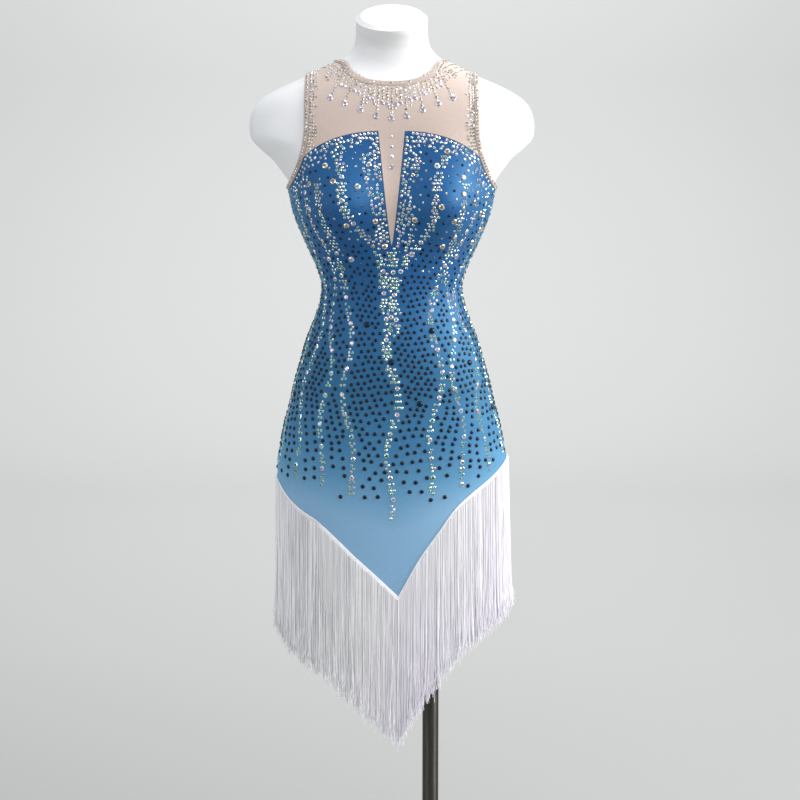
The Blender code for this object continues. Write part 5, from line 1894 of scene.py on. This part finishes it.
class FRINGEDRESS_OT_panels(PieceOperator, bpy.types.Operator):
    """Model the dyed knit panels"""

    bl_idname = "fringe_dress.panels"
    bl_label = "Knit panels"

    def build(self, chosen):
        dye = chosen.colours
        colours = (dye.hem, dye.hem, dye.skirt, dye.hips, dye.seat, dye.waist, dye.bust)
        add_panels(knit_finish([tuple(colour) for colour in colours]))


class FRINGEDRESS_OT_yokes(PieceOperator, bpy.types.Operator):
    """Model the sheer yokes"""

    bl_idname = "fringe_dress.yokes"
    bl_label = "Sheer yokes"

    def build(self, chosen):
        colours = chosen.colours
        add_yokes(net_finish(tuple(colours.net_thread), tuple(colours.net_hole)))


class FRINGEDRESS_OT_bindings(PieceOperator, bpy.types.Operator):
    """Model the neck and armhole bindings"""

    bl_idname = "fringe_dress.bindings"
    bl_label = "Bindings"

    def build(self, chosen):
        add_bindings(binding_finish(tuple(chosen.colours.binding)))


class FRINGEDRESS_OT_fringe(PieceOperator, bpy.types.Operator):
    """Hang the fringe from its braid, front and back"""

    bl_idname = "fringe_dress.fringe"
    bl_label = "Fringe"

    def build(self, chosen):
        white, shade = tuple(chosen.colours.fringe), tuple(chosen.colours.fringe_shade)
        thread, braid = fringe_finish(white, shade), braid_finish(white, shade)
        add_fringe("fringe_front", True, 1, chosen.sizes, thread, braid)
        add_fringe("fringe_back", False, 2, chosen.sizes, thread, braid)


class FRINGEDRESS_OT_stones(PieceOperator, bpy.types.Operator):
    """Set the rhinestones by rule"""

    bl_idname = "fringe_dress.stones"
    bl_label = "Rhinestones"

    def build(self, chosen):
        add_stones(foil_stone_finish(), jet_stone_finish(tuple(chosen.colours.jet)))


class FRINGEDRESS_OT_stitches(PieceOperator, bpy.types.Operator):
    """Sew the bindings, seams and braid"""

    bl_idname = "fringe_dress.stitches"
    bl_label = "Stitches"

    def build(self, chosen):
        colours = chosen.colours
        add_stitches({
            "nude": thread_finish("nude_thread", tuple(colours.binding)),
            "blue": thread_finish("blue_thread", tuple(colours.waist)),
            "white": thread_finish("white_thread", tuple(colours.fringe)),
        })


class FRINGEDRESS_OT_nape_fastening(PieceOperator, bpy.types.Operator):
    """Make the nape button and its loop"""

    bl_idname = "fringe_dress.nape_fastening"
    bl_label = "Nape fastening"

    def build(self, chosen):
        nude = tuple(chosen.colours.binding)
        button, loop = (thread_finish(name, nude) for name in ("nude_button_coat", "loop_thread"))
        add_nape_fastening(button, loop)


class FRINGEDRESS_OT_declare_cloth(PieceOperator, bpy.types.Operator):
    """Work out the cut size of every sheet of cloth"""

    bl_idname = "fringe_dress.declare_cloth"
    bl_label = "Cut sizes"

    def build(self, _chosen):
        for word in ("front", "back"):
            stones = (f"{word}_{kind}" for kind in ("crystals", "large_crystals", "jets"))
            declare_cloth(f"{word}_panel_knit", KNIT_EASE, *stones, "blue_stitches")
            strip, threads = braid_spot(word == "front"), f"fringe_{word}_threads"
            declare_cloth(f"fringe_{word}_braid", 1.0, threads, "white_stitches", strip=strip)
        declare_cloth("front_yoke_net", NET_EASE, "top_crystals", "top_large_crystals")
        declare_cloth("back_yoke_left_net", NET_EASE)
        declare_cloth("back_yoke_right_net", NET_EASE)
        declare_cloth("neck_binding_strip", 1.0, "nude_stitches", strip=neck_binding_spot)
        for side, word in ((-1, "right"), (1, "left")):
            spot = armhole_binding_spot(side)
            declare_cloth(f"armhole_binding_{word}_strip", 1.0, "nude_stitches", strip=spot)


class FRINGEDRESS_OT_studio(PieceOperator, bpy.types.Operator):
    """Set the floor, backdrop, soft lights and camera"""

    bl_idname = "fringe_dress.studio"
    bl_label = "Studio"

    def build(self, chosen):
        add_backdrop(backdrop_finish(tuple(chosen.colours.floor)))
        add_lights(chosen.studio)
        add_camera(chosen.studio)
        plain_colours()


def backdrop_finish(colour):
    """Pale studio paper, with painted shade that makes it deeper towards the front of the floor."""
    finish = Finish("studio_paper", Specular_IOR_Level=0.1)
    split = finish.node("ShaderNodeSeparateXYZ", Vector=finish.coordinates())
    depth = finish.node(
        "ShaderNodeMapRange", Value=split.outputs["Y"], From_Min=PAPER_NEAR, From_Max=PAPER_FAR,
    )
    # Painted shade: the paper's colour is scaled down towards the front of the floor
    stops = [(at, toned(colour, shade)) for at, shade in PAPER_PAINTED_SHADE]
    finish.colour(finish.ramp(depth.outputs["Result"], stops))
    finish.roughness(finish.noise(finish.coordinates(), 1.5, 2), 0.85, 0.95)
    return finish.material


def add_backdrop(material):
    """Pale floor that sweeps up into a wall far behind."""
    bm = bmesh.new()
    bmesh.ops.create_grid(bm, x_segments=1, y_segments=1, size=1)
    for vertex in bm.verts:
        depth = FLOOR_FRONT if vertex.co.y < 0 else SWEEP_START
        vertex.co = (vertex.co.x * FLOOR_HALF_WIDTH, depth, 0)
    back = [e for e in bm.edges if all(v.co.y > SWEEP_START - 0.01 for v in e.verts)]
    for step in range(1, SWEEP_STEPS + 1):
        made = bmesh.ops.extrude_edge_only(bm, edges=back)
        back = [
            edge for edge in of_kind(made, bmesh.types.BMEdge)
            if edge.is_boundary and abs(edge.verts[0].co.x - edge.verts[1].co.x) > 1
        ]
        turn = math.radians(90 * step / SWEEP_STEPS)
        for vertex in of_kind(made, bmesh.types.BMVert):
            vertex.co.y = SWEEP_START + SWEEP_RADIUS * math.sin(turn)
            vertex.co.z = SWEEP_RADIUS * (1 - math.cos(turn))
    made = bmesh.ops.extrude_edge_only(bm, edges=back)
    for vertex in of_kind(made, bmesh.types.BMVert):
        vertex.co.z = WALL_TOP
    bmesh.ops.recalc_face_normals(bm, faces=bm.faces[:])
    mesh = into_mesh("backdrop", bm)
    mesh.shade_smooth()
    mesh.materials.append(material)
    new_object("backdrop", mesh)


def add_light(name, power, size, position, aim=(0, 0, 1.05), colour=(1, 1, 1)):
    """Square soft light of a power in watts and a size in metres, aimed at a point."""
    lamp = bpy.data.lights.new(name, "AREA")
    lamp.energy, lamp.size, lamp.color = power, size, colour
    light = new_object(name, lamp)
    light.location = position
    light.rotation_euler = (Vector(aim) - Vector(position)).to_track_quat("-Z", "Y").to_euler()


def add_lights(studio):
    """Soft key and side lights at the viewer's right, weaker fill and top lights, one for the wall."""
    add_light(
        "key_light", studio.key_power, size=1.3, position=(2.4, -1.2, 2.0), colour=(1, 0.985, 0.96)
    )
    add_light(
        "fill_light", studio.fill_power, size=2.0, position=(-2.4, -2.0, 1.5), colour=(0.95, 0.97, 1)
    )
    add_light("top_light", power=20, size=1.6, position=(0.2, -0.2, 3.3))
    add_light("side_light", power=31, size=0.6, position=(1.8, -0.15, 1.65), aim=(0.1, 0, 1.1))
    add_light("wall_light", power=150, size=3.0, position=(0.2, 2.4, 4.4), aim=(-0.1, 5.4, 1.3))
    world = bpy.data.worlds.new("studio_surroundings")
    world.use_nodes = True
    background = world.node_tree.nodes["Background"]
    background.inputs["Color"].default_value = SKY_COLOUR
    background.inputs["Strength"].default_value = SKY_STRENGTH
    bpy.context.scene.world = world


def plain_colours():
    """Shows colours as they are, so that the white form stays as bright as in a studio picture."""
    bpy.context.scene.view_settings.view_transform = "Standard"


def add_camera(studio):
    """Camera a little above the bust, looking slightly down."""
    lens = bpy.data.cameras.new("camera")
    lens.sensor_fit = "HORIZONTAL"
    lens.angle = studio.view_angle
    camera = new_object("camera", lens)
    camera.location = CAMERA_PLACE
    camera.rotation_euler = (math.pi / 2 - studio.tilt, 0, 0)
    bpy.context.scene.camera = camera


OPERATORS = (
    FRINGEDRESS_OT_form,
    FRINGEDRESS_OT_stand,
    FRINGEDRESS_OT_panels,
    FRINGEDRESS_OT_yokes,
    FRINGEDRESS_OT_bindings,
    FRINGEDRESS_OT_fringe,
    FRINGEDRESS_OT_stones,
    FRINGEDRESS_OT_stitches,
    FRINGEDRESS_OT_nape_fastening,
    FRINGEDRESS_OT_declare_cloth,
    FRINGEDRESS_OT_studio,
)


class FRINGEDRESS_PT_pieces(bpy.types.Panel):
    """Lists the pieces of the dress with their sizes and colours"""

    bl_idname = "FRINGEDRESS_PT_pieces"
    bl_label = "Fringe dress"
    bl_space_type = "VIEW_3D"
    bl_region_type = "UI"
    bl_category = "Fringe dress"

    def draw(self, context):
        for group in settings():
            box = self.layout.box()
            for name in group.__annotations__:
                box.prop(group, name)
        for operator in OPERATORS:
            self.layout.operator(operator.bl_idname)


GROUPS = {
    "fringe_dress_sizes": FringeDressSizes,
    "fringe_dress_colours": FringeDressColours,
    "fringe_dress_studio": FringeDressStudio,
}


def register():
    """Adds the settings, the operators and the panel."""
    for kind in (*GROUPS.values(), *OPERATORS, FRINGEDRESS_PT_pieces):
        bpy.utils.register_class(kind)
    for name, group in GROUPS.items():
        setattr(bpy.types.Scene, name, PointerProperty(type=group))


def unregister():
    """Takes away what register adds."""
    for name in GROUPS:
        delattr(bpy.types.Scene, name)
    for kind in reversed((*GROUPS.values(), *OPERATORS, FRINGEDRESS_PT_pieces)):
        bpy.utils.unregister_class(kind)


def main():
    """Builds every piece in order, and works out the cut sizes of the cloth."""
    register()
    bpy.ops.fringe_dress.form()
    bpy.ops.fringe_dress.stand()
    bpy.ops.fringe_dress.panels()
    bpy.ops.fringe_dress.yokes()
    bpy.ops.fringe_dress.bindings()
    bpy.ops.fringe_dress.fringe()
    bpy.ops.fringe_dress.stones()
    bpy.ops.fringe_dress.stitches()
    bpy.ops.fringe_dress.nape_fastening()
    bpy.ops.fringe_dress.declare_cloth()
    bpy.ops.fringe_dress.studio()


if __name__ == "__main__":
    main()
